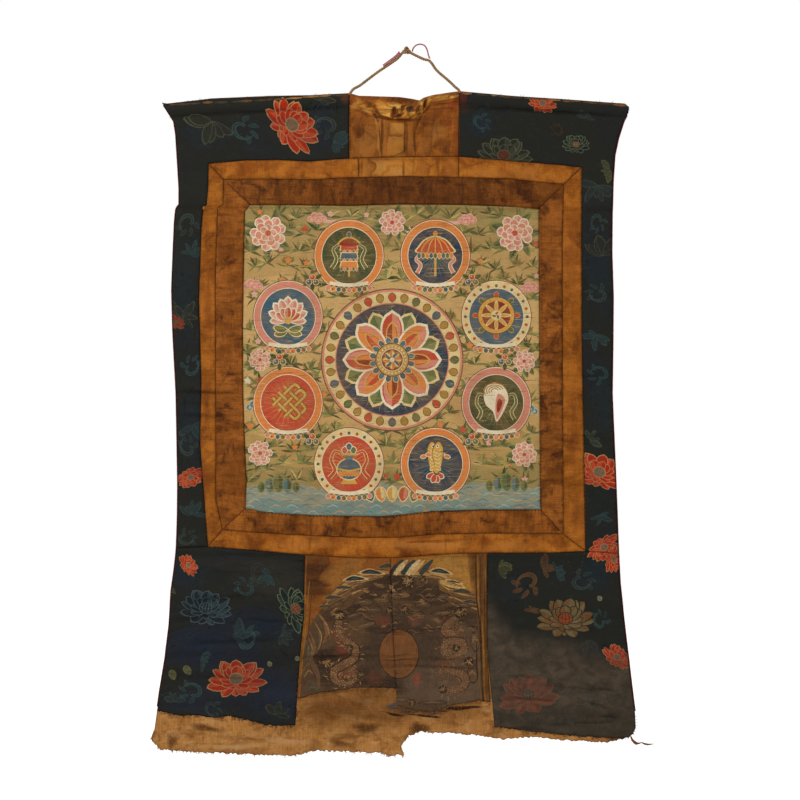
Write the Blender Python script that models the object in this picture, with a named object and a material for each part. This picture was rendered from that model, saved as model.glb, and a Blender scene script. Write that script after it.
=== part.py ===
"""A thangka: a painted cloth in a two-coloured silk frame on a brocade scroll, hung from a cord.

Sizes are in millimetres and become metres where a mesh is written. A place on the scroll is
(x, drop): x to the viewer's right of the point that hangs on the nail, drop below that point.
The viewer looks along +Y, so cloth that bulges towards the viewer has a smaller Y.
"""

import math
from bisect import bisect_right

import bmesh
import bpy
from mathutils import Vector

MM = 0.001

# Thicknesses and clearances
CLOTH = 1.2
GAP = 0.3
SEAM = 0.5
PATCH = 0.8
BINDING_RADIUS = 0.9
CORD_RADIUS = 1.7
THREAD_RADIUS = 0.6
DOUBLED_THREAD_RADIUS = 1.0

# The scroll's own edges, as (x, drop), each listed once and shared by the cloths that meet there
TOP_EDGE_LEFT = [(-365, 73), (-357, 74), (-290, 66), (-206, 62), (-144, 61), (-84, 58)]
TOP_EDGE_HEADING = [
    (-84, 58), (-70, 62), (-35, 63), (-8, 64), (12, 67), (21, 69), (27, 65), (40, 61), (66, 57),
    (81, 55),
]
TOP_EDGE_RIGHT = [(81, 55), (159, 62), (231, 66.5), (303, 72), (329, 74), (335, 79)]
LEFT_EDGE = [
    (-365, 73), (-357, 85), (-347, 101), (-344, 120), (-341, 166), (-339, 202), (-339, 225),
    (-344, 231), (-346, 252), (-348, 298), (-350, 353), (-348.5, 413), (-346, 461), (-343.5, 506),
    (-342, 560), (-341, 640), (-341.5, 690), (-343, 740),
]
LOWER_LEFT_EDGE = [(-343, 740), (-346, 768), (-351, 805), (-354, 855), (-360, 905), (-368, 954), (-372, 984)]
RIGHT_EDGE = [
    (335, 79), (334, 88), (327, 101), (319, 126), (313.5, 152), (311, 190), (309.5, 238), (309, 298),
    (311, 365), (310.5, 437), (309.5, 509), (310, 580), (313.5, 640), (317, 690), (319, 748),
]
LOWER_RIGHT_EDGE = [
    (319, 748), (321.5, 793), (326.5, 842), (332.5, 892), (338, 940), (344, 989), (345, 1009),
    (340, 1019), (334, 1024),
]

# The torn foot of the lining, which hangs below the brocade
LINING_FOOT = [
    (-372, 984), (-376, 1011), (-382, 1026), (-368, 1041), (-345, 1045), (-321, 1046), (-259, 1048.5),
    (-209, 1051), (-167, 1052.5), (-135, 1044), (-85, 1046), (-40, 1047.5), (-26, 1053), (-8, 1050),
    (-3, 1054), (-2, 1048), (-7, 1038), (5, 1022), (24, 1016), (66, 1018.5), (104, 1021.5), (148, 1027.5), (191, 1024),
    (240, 1029), (303, 1032), (334, 1024),
]

# The two frames round the painting: three rings of seams, each in four sides
OUTER_TOP_LEFT = [(-295, 164), (-240, 159), (-192, 158), (-144, 160.5), (-84, 156), (-70, 155.5)]
OUTER_TOP_MIDDLE = [(-70, 155.5), (-38, 154.5), (22, 153.5), (80, 153)]
OUTER_TOP_RIGHT = [(80, 153), (159, 160), (231, 165.5), (264.5, 169.5)]
OUTER_RIGHT = [(264.5, 169.5), (264, 226), (264.5, 413), (268, 556), (269, 668), (270, 745)]
OUTER_BOTTOM_RIGHT = [(270, 745), (215, 747.5), (123, 748)]
OUTER_BOTTOM_MIDDLE = [(123, 748), (91, 748), (37, 751), (-8, 754.5), (-72, 755.5), (-151, 750.5)]
OUTER_BOTTOM_LEFT = [(-151, 750.5), (-234, 743), (-296, 738)]
OUTER_LEFT = [
    (-296, 738), (-301, 668), (-304.5, 628), (-308, 580), (-306, 497), (-309.5, 365), (-306, 262),
    (-303, 231), (-298, 226), (-296, 202), (-295, 164),
]
MIDDLE_TOP_LEFT = [(-272, 188), (-192, 187), (-144, 188), (-70, 184.5)]
MIDDLE_TOP_MIDDLE = [(-70, 184.5), (1, 183), (80, 184.5)]
MIDDLE_TOP_RIGHT = [(80, 184.5), (159, 187), (237, 195)]
MIDDLE_RIGHT = [(237, 195), (235, 293), (236, 413), (237, 560), (236.5, 719)]
MIDDLE_BOTTOM = [
    (236.5, 719), (116, 718), (42, 719.5), (-8, 724), (-60, 724.5), (-135, 722), (-209, 718),
    (-274, 713),
]
MIDDLE_LEFT = [(-274, 713), (-284, 668), (-284.5, 338), (-283, 274), (-281, 231), (-273, 225), (-272, 188)]
INNER_TOP = [(-233, 226), (-168, 226), (-84, 227), (-8, 225), (80, 225.5), (159, 228.5), (200, 232)]
INNER_RIGHT = [(200, 232), (201.5, 293), (202, 413), (202.5, 668), (203, 683)]
INNER_BOTTOM = [
    (203, 683), (116, 683), (42, 685.5), (-8, 691), (-35, 693), (-135, 692), (-209, 687),
    (-240, 681),
]
INNER_LEFT = [
    (-240, 681), (-238.5, 640), (-242, 556), (-243.5, 508), (-244, 413), (-242, 293), (-241, 236),
    (-233, 226),
]

# Seams of the heading and of the door, which is the brocade let in under the painting
HEADING_LEFT = [(-84, 58), (-84.5, 108), (-84, 156)]
HEADING_RIGHT = [(81, 55), (80, 108), (80, 153)]
DOOR_SIDE_LEFT = [(-151, 750.5), (-152, 842), (-158, 904), (-162, 967)]
LOWER_LEFT_FOOT = [
    (-162, 967), (-165.5, 1007), (-209, 1006), (-234, 999), (-262, 992), (-284, 994.5),
    (-308, 991.5), (-346, 990.5), (-372, 984),
]
DOOR_SIDE_RIGHT = [(123, 748), (122, 818), (122.5, 893), (127.5, 972)]
LOWER_RIGHT_FOOT = [
    (127.5, 972), (133.5, 1009), (166, 1013), (216, 1018), (265, 1023), (314, 1025.5), (334, 1024),
]
DOOR_MIDDLE = [(-22.5, 755), (-22.5, 790), (-18.5, 869), (-13.5, 951)]
DOOR_FOOT_LEFT = [(-45, 950), (-72, 950.5), (-104, 954), (-125, 957), (-147, 963)]
DOOR_FOOT_RIGHT = [(111, 969), (66, 977), (49, 985), (17, 985.5), (-1, 980), (-13.5, 977)]
DOOR_LEFT_LENGTH, DOOR_RIGHT_LENGTH = 966, 971
PLEAT_WIDTH, PLEAT_RIDGES, PLEAT_FORWARD = 13.5, 2, 1.5

# The sewn-on patch of the heading
PATCH_OUTLINE = [(-36, 98), (-35, 153), (-18, 153), (-2, 146), (-1, 98)]

# Soft folds across the scroll. above and below are the reach on either side of the fold's line.
FOLDS = [
    # name, drop at x = 0, above, below, forward, from x, to x, fade
    ("tuck over the painting", 229, 42, 4, 3.0, -400, 400, 40),
    ("roll through the upper figures", 352, 60, 60, 1.6, -400, 400, 40),
    ("crease by the left frame", 507, 18, 5, 2.2, -400, -220, 60),
    ("second crease by the left frame", 541, 12, 7, 1.3, -400, -225, 60),
    ("crease by the right frame", 571, 18, 6, 1.9, 190, 400, 60),
    ("roll through the lower painting", 622, 60, 48, 1.8, -400, 400, 40),
    ("ledge under the frame", 749, 32, 5, 2.0, -400, 400, 40),
    ("roll below the frame", 815, 34, 30, 2.2, -400, 400, 40),
    ("crease through the door", 901, 22, 9, 2.2, -400, 400, 40),
    ("roll above the hem", 974, 24, 16, 2.4, -400, 400, 40),
]
# Rows across the cloth lean more and more down to the right towards the foot
LEAN = [(40, 0.0), (150, 0.006), (740, 0.010), (860, 0.018), (1000, 0.030), (1080, 0.036)]
ROW_STEP = 26
CLOSEST_ROWS = 2.5
FIRST_ROW, LAST_ROW = 40, 1085
FIRST_COLUMN, LAST_COLUMN, COLUMN_STEP = -400, 400, 50

# Curl of the side edges and waves of the foot
CURL_FORWARD, CURL_STARTS, CURL_WIDTH = 9.0, 190, 180
WAVE_FORWARD, WAVE_LENGTH, WAVE_STARTS, WAVE_GROWS = 2.6, 265, 770, 260

# The sleeve along the top edge, a flattened tube of cloth, and the crumpled roll of the heading
SLEEVE_HEIGHT, SLEEVE_FORWARD = 20, 2.6
SLEEVE_SLICES = [5, 10, 15, 20]
SLEEVE_LEFT_TOP = ((-357, 74), (-84, 58))
SLEEVE_RIGHT_TOP = ((81, 55), (329, 74))
CRUMPLE = [
    # x, drop of the roll's middle, half height, forward
    (-84, 66, 6, 3.0), (-62, 72, 8, 5.5), (-40, 76, 9, 4.0), (-20, 82, 12, 8.0), (0, 83, 13, 7.0),
    (12, 79, 10, 5.0), (22, 78, 7, 7.0), (30, 69, 7, 4.0), (55, 65, 7, 3.6), (81, 62, 6, 3.0),
]
HEADING_COLUMNS = [-72, -61, -50.5, -40, -30, -20, -10, 0.5, 12, 22, 31, 42, 55, 68]
HEADING_ROWS = [60, 65, 71, 77, 84, 91, 98]

# The hanging cord, from the left end up to the knot and down to the right end, as (x, height)
CORD_LEFT = [
    (-82, -56.8), (-77.5, -51.5), (-69, -47), (-57, -38), (-41, -26), (-29, -18), (-12.5, -6.5),
    (-5.6, 1.5),
]
CORD_RIGHT = [
    (9.3, 1.5), (20, -3.8), (28, -7.4), (35, -9), (40, -14.3), (45, -21.8), (51, -27.9), (58.5, -34.2),
    (67, -41.6), (75, -49.4), (79.5, -53),
]
CORD_FORWARD = 1.5
CORD_STEP = 3.4
KNOT_CENTRE, KNOT_HALF = (1.5, 6.4), (7.6, 4.6, 6.4)
THREAD_LOOP = [
    (10.2, 4.3), (11.8, 9.5), (16.2, 13.8), (22.4, 15.3), (28.7, 13.1), (32.4, 6.9), (34.6, -1.8),
    (36.8, -6.2),
]
THREAD_END = [(-8.8, 3.4), (-14.6, -3.2), (-24.5, -10.6), (-33.4, -17.3)]
SHRED = [
    # x, drop, radius
    (337.5, 1022.4, 1.4), (340, 1028, 2.4), (345, 1032.6, 3.0), (350, 1032.5, 1.4), (353.5, 1031.2, 0.9),
    (358, 1033.2, 1.8), (363, 1034.2, 1.7), (368, 1033.6, 1.0), (372, 1033.3, 0.4),
]

COLOURS = {
    # name: red, green, blue, roughness
    "lining": (0.30, 0.16, 0.07, 0.95),
    "brocade": (0.016, 0.022, 0.026, 0.80),
    "gold_silk": (0.36, 0.17, 0.045, 0.70),
    "brown_silk": (0.16, 0.06, 0.02, 0.75),
    "painting": (0.33, 0.25, 0.13, 0.85),
    "door_brocade": (0.10, 0.07, 0.045, 0.85),
    "binding": (0.20, 0.02, 0.02, 0.80),
    "cord": (0.25, 0.17, 0.10, 0.90),
    "thread": (0.50, 0.16, 0.18, 0.80),
}


def start_clean():
    for obj in list(bpy.data.objects):
        bpy.data.objects.remove(obj)
    collection = bpy.data.collections.new("thangka")
    bpy.context.scene.collection.children.link(collection)
    return collection


def make_materials():
    made = {}
    for name, (red, green, blue, roughness) in COLOURS.items():
        material = bpy.data.materials.new(name)
        material.use_nodes = True
        shader = material.node_tree.nodes["Principled BSDF"]
        shader.inputs["Base Color"].default_value = (red, green, blue, 1)
        shader.inputs["Roughness"].default_value = roughness
        shader.inputs["Metallic"].default_value = 0
        made[name] = material
    return made


def between(value, table, column=1):
    """A column of a table of rows, read at value with straight lines between the rows."""
    if value <= table[0][0]:
        return table[0][column]
    for low, high in zip(table, table[1:]):
        if value <= high[0]:
            share = (value - low[0]) / (high[0] - low[0])
            return low[column] + share * (high[column] - low[column])
    return table[-1][column]


def smooth(share):
    share = max(0.0, min(1.0, share))
    return share * share * (3 - 2 * share)


def fold_height(x, row):
    """How far the hanging cloth stands forward at x on the row that crosses x = 0 at that drop."""
    height = 0
    for _, line, above, below, forward, start, end, fade in FOLDS:
        reach = above if row < line else below
        across = smooth((x - start) / fade) * smooth((end - x) / fade)
        height += forward * across * smooth(1 - abs(row - line) / reach)
    near_an_end = 0.45 + 0.35 * smooth((180 - row) / 120) + 0.55 * smooth((row - 800) / 200)
    curl = max(0.0, (abs(x) - CURL_STARTS) / CURL_WIDTH)
    wave = math.sin(2 * math.pi * (x + 40) / WAVE_LENGTH) * smooth((row - WAVE_STARTS) / WAVE_GROWS)
    return height + CURL_FORWARD * near_an_end * curl**2 + WAVE_FORWARD * (1 + wave) / 2


def make_rows():
    """The rows that the cloths are creased along: evenly spaced, and closer at each fold."""
    at_folds = []
    for _, line, above, below, _, _, _, _ in FOLDS:
        at_folds += [line, line - above, line - above / 2, line + below]
    even = [FIRST_ROW + i * ROW_STEP for i in range(int((LAST_ROW - FIRST_ROW) / ROW_STEP) + 2)]
    kept = sorted(set(at_folds))
    rows = [kept[0]]
    for row in kept[1:]:
        if row - rows[-1] > CLOSEST_ROWS:
            rows.append(row)
    rows += [row for row in even if min(abs(row - r) for r in rows) > ROW_STEP / 2.5]
    return sorted(rows)


ROWS = make_rows()
COLUMNS = list(range(FIRST_COLUMN, LAST_COLUMN + 1, COLUMN_STEP))
HEIGHTS = [[fold_height(x, row) for x in COLUMNS] for row in ROWS]


def row_drop(row, x):
    return row + between(row, LEAN) * x


def cell_of(x, drop):
    """The numbers of the column and the row just before a place."""
    column = bisect_right(COLUMNS, x) - 1
    row = bisect_right([row_drop(r, x) for r in ROWS], drop) - 1
    return max(0, min(column, len(COLUMNS) - 2)), max(0, min(row, len(ROWS) - 2))


def cell_corner(column, row):
    return COLUMNS[column], row_drop(ROWS[row], COLUMNS[column])


def lying(x, drop):
    """The height of the creased cloth, which is flat in each half of a cell."""
    column, row = cell_of(x, drop)
    left_top, right_foot = cell_corner(column, row), cell_corner(column + 1, row + 1)
    share = (x - left_top[0]) / (right_foot[0] - left_top[0])
    on_the_right = drop < left_top[1] + share * (right_foot[1] - left_top[1])
    third = (column + 1, row) if on_the_right else (column, row + 1)
    corners = [(column, row), third, (column + 1, row + 1)]
    (ax, ay), (bx, by), (cx, cy) = (cell_corner(*corner) for corner in corners)
    whole = (bx - ax) * (cy - ay) - (cx - ax) * (by - ay)
    b = ((x - ax) * (cy - ay) - (cx - ax) * (drop - ay)) / whole
    c = ((bx - ax) * (drop - ay) - (x - ax) * (by - ay)) / whole
    heights = [HEIGHTS[corner[1]][corner[0]] for corner in corners]
    return heights[0] * (1 - b - c) + heights[1] * b + heights[2] * c


def joined(*sides):
    """One outline from sides that follow each other, each corner listed once."""
    outline = []
    for side in sides:
        outline += [point for point in side if not outline or math.dist(point, outline[-1]) > 0.01]
    return outline[:-1] if math.dist(outline[0], outline[-1]) < 0.01 else outline


def inset(outline, by):
    """The outline moved inwards by that much all round."""
    following = outline[1:] + outline[:1]
    twice_area = sum(a[0] * b[1] - b[0] * a[1] for a, b in zip(outline, following))
    side = 1 if twice_area > 0 else -1
    moved = []
    for i, point in enumerate(outline):
        before = Vector(point) - Vector(outline[i - 1])
        after = Vector(following[i]) - Vector(point)
        first = Vector((-before.y, before.x)).normalized() * side
        second = Vector((-after.y, after.x)).normalized() * side
        step = (first + second) * by / max(0.4, 1 + first.dot(second))
        moved.append((point[0] + step.x, point[1] + step.y))
    return moved


def slice_along(bm, faces, place, along):
    """Cuts flat faces along the line through a place, both as (x, drop)."""
    edges = {edge for face in faces for edge in face.edges}
    corners = {corner for face in faces for corner in face.verts}
    bmesh.ops.bisect_plane(
        bm,
        geom=[*corners, *edges, *faces],
        dist=1e-6,
        plane_co=(place[0] * MM, 0, -place[1] * MM),
        plane_no=Vector((along[1], 0, along[0])).normalized(),
    )


def crease(bm):
    """Cuts a flat cloth along the rows, the columns and each cell's diagonal."""
    for row in ROWS:
        slice_along(bm, bm.faces[:], (0, row), (1, between(row, LEAN)))
    for column in COLUMNS:
        slice_along(bm, bm.faces[:], (column, 0), (0, 1))
    for face in bm.faces[:]:
        middle = face.calc_center_median()
        column, row = cell_of(middle.x / MM, -middle.z / MM)
        start, end = cell_corner(column, row), cell_corner(column + 1, row + 1)
        slice_along(bm, [face], start, (end[0] - start[0], end[1] - start[1]))


def add_object(name, mesh, material, collection):
    mesh.materials.append(material)
    obj = bpy.data.objects.new(name, mesh)
    collection.objects.link(obj)
    return obj


def make_cloth(
    name, outline, material, collection, seam=SEAM, back=GAP, thickness=CLOTH, swell=None, slices=()
):
    """A cloth laid on the folds, half a seam smaller all round than the outline.

    swell(x, drop) is extra thickness in front, and slices are more lines to crease it along.
    """
    bm = bmesh.new()
    bm.faces.new([bm.verts.new((x * MM, 0, -drop * MM)) for x, drop in inset(outline, seam / 2)])
    for place, along in slices:
        slice_along(bm, bm.faces[:], place, along)
    crease(bm)
    bmesh.ops.remove_doubles(bm, verts=bm.verts, dist=1e-6)
    bmesh.ops.triangulate(bm, faces=bm.faces[:])
    behind = bm.verts[:]
    grown = bmesh.ops.extrude_face_region(bm, geom=bm.faces[:], use_keep_orig=True)["geom"]
    in_front = [item for item in grown if isinstance(item, bmesh.types.BMVert)]
    for corners, lift in ((behind, back), (in_front, back + thickness)):
        for corner in corners:
            x, drop = corner.co.x / MM, -corner.co.z / MM
            more = swell(x, drop) if swell and corners is in_front else 0
            corner.co.y = -(lying(x, drop) + lift + more) * MM
    bmesh.ops.recalc_face_normals(bm, faces=bm.faces)
    mesh = bpy.data.meshes.new(name)
    bm.to_mesh(mesh)
    bm.free()
    return add_object(name, mesh, material, collection)


def sleeve_swell(ends):
    """The swell of the sleeve whose top runs between two places, and the lines it is creased along."""
    (x0, drop0), (x1, drop1) = ends
    slope = (drop1 - drop0) / (x1 - x0)

    def swell(x, drop):
        below_top = (drop - drop0 - slope * (x - x0)) / SLEEVE_HEIGHT
        return SLEEVE_FORWARD * math.sin(math.pi * below_top) if 0 < below_top < 1 else 0

    return swell, [((x0, drop0 + down), (1, slope)) for down in SLEEVE_SLICES]


def crumple_swell(x, drop):
    middle, half, forward = (between(x, CRUMPLE, column) for column in (1, 2, 3))
    away = (drop - middle) / half
    return forward * (1 - away * away) if abs(away) < 1 else 0


def pleat_swell(x, drop):
    """The ridges of the door's right side, where its silk is gathered against the seam."""
    seam = between(drop, [(d, sx) for sx, d in DOOR_SIDE_RIGHT])
    share = (seam - x) / PLEAT_WIDTH
    return PLEAT_FORWARD * abs(math.sin(math.pi * PLEAT_RIDGES * share)) if 0 < share < 1 else 0


def cut_at(side, drop):
    """A side that runs downwards, ended at that drop."""
    kept = [point for point in side if point[1] < drop]
    return kept + [(between(drop, [(d, x) for x, d in side]), drop)]


def make_lining(materials, collection):
    outline = joined(
        TOP_EDGE_LEFT, TOP_EDGE_HEADING, TOP_EDGE_RIGHT, RIGHT_EDGE, LOWER_RIGHT_EDGE,
        LINING_FOOT[::-1], LOWER_LEFT_EDGE[::-1], LEFT_EDGE[::-1],
    )
    make_cloth("lining_cloth", outline, materials["lining"], collection, seam=0, back=-CLOTH)


def make_brocades(materials, collection):
    """The four cloths of brocade. The upper two end in the sleeve along the top."""
    brocade = materials["brocade"]
    outline = joined(
        TOP_EDGE_LEFT, HEADING_LEFT, OUTER_TOP_LEFT[-2::-1], OUTER_LEFT[::-1], LEFT_EDGE[::-1]
    )
    swell, slices = sleeve_swell(SLEEVE_LEFT_TOP)
    make_cloth("brocade_upper_left", outline, brocade, collection, swell=swell, slices=slices)
    outline = joined(
        TOP_EDGE_RIGHT, RIGHT_EDGE, OUTER_RIGHT[::-1], OUTER_TOP_RIGHT[::-1], HEADING_RIGHT[::-1]
    )
    swell, slices = sleeve_swell(SLEEVE_RIGHT_TOP)
    make_cloth("brocade_upper_right", outline, brocade, collection, swell=swell, slices=slices)
    outline = joined(
        OUTER_BOTTOM_LEFT[::-1], DOOR_SIDE_LEFT, LOWER_LEFT_FOOT, LOWER_LEFT_EDGE[::-1]
    )
    make_cloth("brocade_lower_left", outline, brocade, collection)
    outline = joined(
        OUTER_BOTTOM_RIGHT[::-1], LOWER_RIGHT_EDGE, LOWER_RIGHT_FOOT[::-1], DOOR_SIDE_RIGHT[::-1]
    )
    make_cloth("brocade_lower_right", outline, brocade, collection)


def make_heading(materials, collection):
    gold = materials["gold_silk"]
    outline = joined(
        TOP_EDGE_HEADING, HEADING_RIGHT, OUTER_TOP_MIDDLE[::-1], OUTER_TOP_LEFT[-1:-3:-1],
        HEADING_LEFT[::-1],
    )
    upright = [((x, 0), (0, 1)) for x in HEADING_COLUMNS]
    level = [((0, drop), (1, 0)) for drop in HEADING_ROWS]
    make_cloth(
        "heading_silk", outline, gold, collection, swell=crumple_swell, slices=upright + level
    )
    in_front = GAP + CLOTH + GAP
    make_cloth(
        "heading_patch", PATCH_OUTLINE, gold, collection, seam=0, back=in_front, thickness=PATCH
    )


def make_frames(materials, collection):
    """The gold strips outside and the brown strips inside, mitred at the corners."""
    outer_bottom = OUTER_BOTTOM_RIGHT + OUTER_BOTTOM_MIDDLE + OUTER_BOTTOM_LEFT
    middle_top = MIDDLE_TOP_LEFT + MIDDLE_TOP_MIDDLE + MIDDLE_TOP_RIGHT
    strips = {
        # name: cloth, outer side, inner side
        "outer_strip_top_left": ("gold_silk", OUTER_TOP_LEFT, MIDDLE_TOP_LEFT),
        "outer_strip_top_middle": ("gold_silk", OUTER_TOP_MIDDLE, MIDDLE_TOP_MIDDLE),
        "outer_strip_top_right": ("gold_silk", OUTER_TOP_RIGHT, MIDDLE_TOP_RIGHT),
        "outer_strip_right": ("gold_silk", OUTER_RIGHT, MIDDLE_RIGHT),
        "outer_strip_bottom": ("gold_silk", outer_bottom, MIDDLE_BOTTOM),
        "outer_strip_left": ("gold_silk", OUTER_LEFT, MIDDLE_LEFT),
        "inner_strip_top": ("brown_silk", middle_top, INNER_TOP),
        "inner_strip_right": ("brown_silk", MIDDLE_RIGHT, INNER_RIGHT),
        "inner_strip_bottom": ("brown_silk", MIDDLE_BOTTOM, INNER_BOTTOM),
        "inner_strip_left": ("brown_silk", MIDDLE_LEFT, INNER_LEFT),
    }
    for name, (cloth, outside, inside) in strips.items():
        make_cloth(name, joined(outside, inside[::-1]), materials[cloth], collection)
    outline = joined(INNER_TOP, INNER_RIGHT, INNER_BOTTOM, INNER_LEFT)
    make_cloth("painted_canvas", outline, materials["painting"], collection)


def make_door(materials, collection):
    """The door's two widths of brocade, the right one pleated along its outer side."""
    brocade = materials["door_brocade"]
    top = OUTER_BOTTOM_MIDDLE[::-1]
    middle_x = DOOR_MIDDLE[0][0]
    side = cut_at(DOOR_SIDE_LEFT, DOOR_LEFT_LENGTH)
    top_left = [point for point in top if point[0] < middle_x]
    outline = joined(top_left, DOOR_MIDDLE, DOOR_FOOT_LEFT, side[::-1])
    make_cloth("door_left", outline, brocade, collection)

    side = cut_at(DOOR_SIDE_RIGHT, DOOR_RIGHT_LENGTH)
    top_right = [point for point in top if point[0] > middle_x]
    outline = joined(top_right, side, DOOR_FOOT_RIGHT, DOOR_MIDDLE[::-1])
    step = PLEAT_WIDTH / (2 * PLEAT_RIDGES)
    (x0, drop0), (x1, drop1) = side[0], side[-1]
    along = (x1 - x0, drop1 - drop0)
    slices = [((x0 - step * n, drop0), along) for n in range(1, 2 * PLEAT_RIDGES + 1)]
    make_cloth("door_right", outline, brocade, collection, swell=pleat_swell, slices=slices)


def make_tube(name, points, radius, material, collection, radii=None, resolution=2):
    """A round tube along points, which are (x, y, z) in millimetres."""
    curve = bpy.data.curves.new(name, "CURVE")
    curve.dimensions = "3D"
    curve.bevel_depth = radius * MM
    curve.bevel_resolution = resolution
    curve.use_fill_caps = True
    spline = curve.splines.new("POLY")
    spline.points.add(len(points) - 1)
    for i, (x, y, z) in enumerate(points):
        spline.points[i].co = (x * MM, y * MM, z * MM, 1)
        spline.points[i].radius = radii[i] if radii else 1
    curve.materials.append(material)
    obj = bpy.data.objects.new(name, curve)
    collection.objects.link(obj)
    return obj


def smooth_route(points, step):
    """Points about step apart on a smooth curve through the given ones."""
    ends = [points[0]] + list(points) + [points[-1]]
    route = []
    for i in range(len(points) - 1):
        before, start, end, after = (Vector(p) for p in ends[i : i + 4])
        pieces = max(1, round((end - start).length / step))
        for k in range(pieces):
            t = k / pieces
            route.append(
                0.5 * (2 * start + (end - before) * t + (2 * before - 5 * start + 4 * end - after) * t**2
                       + (3 * start - before - 3 * end + after) * t**3)
            )
    return route + [Vector(points[-1])]


def make_bindings(materials, collection):
    """A thin red cord sewn along each side edge, beside the brocade and the lining."""
    aside = BINDING_RADIUS + GAP + 0.1
    for name, edge, side in (
        ("side_binding_left", joined(LEFT_EDGE, LOWER_LEFT_EDGE), -1),
        ("side_binding_right", joined(RIGHT_EDGE[1:], LOWER_RIGHT_EDGE[:-3]), 1),
    ):
        first, last = edge[0][1] + 4, edge[-1][1] - 4
        between_ends = {drop for drop in [*ROWS, *(d for _, d in edge)] if first < drop < last}
        by_drop = [(d, x) for x, d in edge]
        points = []
        for drop in sorted(between_ends | {first, last}):
            x = between(drop, by_drop)
            slope = (between(drop + 1, by_drop) - between(drop - 1, by_drop)) / 2
            place = x + side * aside * math.hypot(1, slope)
            points.append((place, -lying(x, drop) - GAP, -drop))
        kept = [points[0]]
        for point in points[1:]:
            if math.dist(point, kept[-1]) > 4:
                kept.append(point)
        make_tube(name, kept, BINDING_RADIUS, materials["binding"], collection)


def make_hanger(materials, collection):
    """The hanging cord in two runs, the knot between them, and the red thread tied round it."""
    level = -CORD_FORWARD
    for name, places in (("hanging_cord_left", CORD_LEFT), ("hanging_cord_right", CORD_RIGHT)):
        route = smooth_route([(x, level, z) for x, z in places], CORD_STEP)
        make_tube(name, route, CORD_RADIUS, materials["cord"], collection)
    for name, places, radius in (
        ("red_thread_loop", THREAD_LOOP, THREAD_RADIUS),
        ("red_thread_end", THREAD_END, DOUBLED_THREAD_RADIUS),
    ):
        route = smooth_route([(x, level, z) for x, z in places], CORD_STEP)
        make_tube(name, route, radius, materials["thread"], collection)

    bm = bmesh.new()
    bmesh.ops.create_uvsphere(bm, u_segments=16, v_segments=10, radius=1)
    for corner in bm.verts:
        x, y, z = corner.co
        taper = 1 - 0.32 * (z + 0.2)
        lump = 1 + 0.07 * math.sin(5 * x + 3 * z)
        corner.co = (
            (KNOT_CENTRE[0] + KNOT_HALF[0] * x * taper * lump) * MM,
            (level + KNOT_HALF[1] * y * lump) * MM,
            (KNOT_CENTRE[1] + KNOT_HALF[2] * z) * MM,
        )
    mesh = bpy.data.meshes.new("cord_knot")
    bm.to_mesh(mesh)
    bm.free()
    mesh.shade_smooth()
    add_object("cord_knot", mesh, materials["cord"], collection)


def make_shred(materials, collection):
    """A twisted shred of the lining that hangs from its lower right corner."""
    level = -lying(SHRED[0][0], SHRED[0][1])
    points = [(x, level, -drop) for x, drop, _ in SHRED]
    radii = [radius for _, _, radius in SHRED]
    make_tube("corner_shred", points, 1, materials["lining"], collection, radii=radii)


def main():
    collection = start_clean()
    materials = make_materials()
    make_lining(materials, collection)
    make_brocades(materials, collection)
    make_heading(materials, collection)
    make_frames(materials, collection)
    make_door(materials, collection)
    make_bindings(materials, collection)
    make_hanger(materials, collection)
    make_shred(materials, collection)


main()
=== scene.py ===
import functools
import math
import random

import bpy
import numpy as np
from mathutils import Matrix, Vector
from mathutils.geometry import delaunay_2d_cdt


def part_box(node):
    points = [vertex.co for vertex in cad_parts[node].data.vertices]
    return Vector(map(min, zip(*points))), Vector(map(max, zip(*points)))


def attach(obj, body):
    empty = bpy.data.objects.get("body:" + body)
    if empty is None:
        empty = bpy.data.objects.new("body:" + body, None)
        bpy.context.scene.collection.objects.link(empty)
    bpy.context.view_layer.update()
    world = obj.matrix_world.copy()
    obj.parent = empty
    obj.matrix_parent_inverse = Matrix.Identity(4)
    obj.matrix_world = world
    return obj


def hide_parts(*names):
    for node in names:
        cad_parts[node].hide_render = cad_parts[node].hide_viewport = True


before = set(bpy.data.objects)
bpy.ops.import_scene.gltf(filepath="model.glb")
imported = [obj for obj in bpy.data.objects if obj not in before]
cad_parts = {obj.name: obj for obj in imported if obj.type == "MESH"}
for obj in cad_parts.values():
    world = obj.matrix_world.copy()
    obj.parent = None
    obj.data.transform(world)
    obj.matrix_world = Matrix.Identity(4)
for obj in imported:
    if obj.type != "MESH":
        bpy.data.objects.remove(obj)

# The thangka's looks. Sizes are in millimetres and become metres where a mesh is written.
# A place on the scroll is (x, drop): x to the viewer's right, drop below the point it hangs from.
# Cloth that bulges towards the viewer has a larger height, and a smaller Y.

MM = 0.001
GAP = 0.3
CLOTH = 1.2
ROOT = "root"

# The folds of the cloths, as in the solids
FOLDS = [
    # drop at x = 0, above, below, forward, from x, to x, fade
    (229, 42, 4, 3.0, -400, 400, 40),
    (352, 60, 60, 1.6, -400, 400, 40),
    (507, 18, 5, 2.2, -400, -220, 60),
    (541, 12, 7, 1.3, -400, -225, 60),
    (571, 18, 6, 1.9, 190, 400, 60),
    (622, 60, 48, 1.8, -400, 400, 40),
    (749, 32, 5, 2.0, -400, 400, 40),
    (815, 34, 30, 2.2, -400, 400, 40),
    (901, 22, 9, 2.2, -400, 400, 40),
    (974, 24, 16, 2.4, -400, 400, 40),
]
LEAN_DROPS = [40, 150, 740, 860, 1000, 1080]
LEANS = [0.0, 0.006, 0.010, 0.018, 0.030, 0.036]
CURL_FORWARD, CURL_STARTS, CURL_WIDTH = 9.0, 190, 180
WAVE_FORWARD, WAVE_LENGTH, WAVE_STARTS, WAVE_GROWS = 2.6, 265, 770, 260
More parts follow.
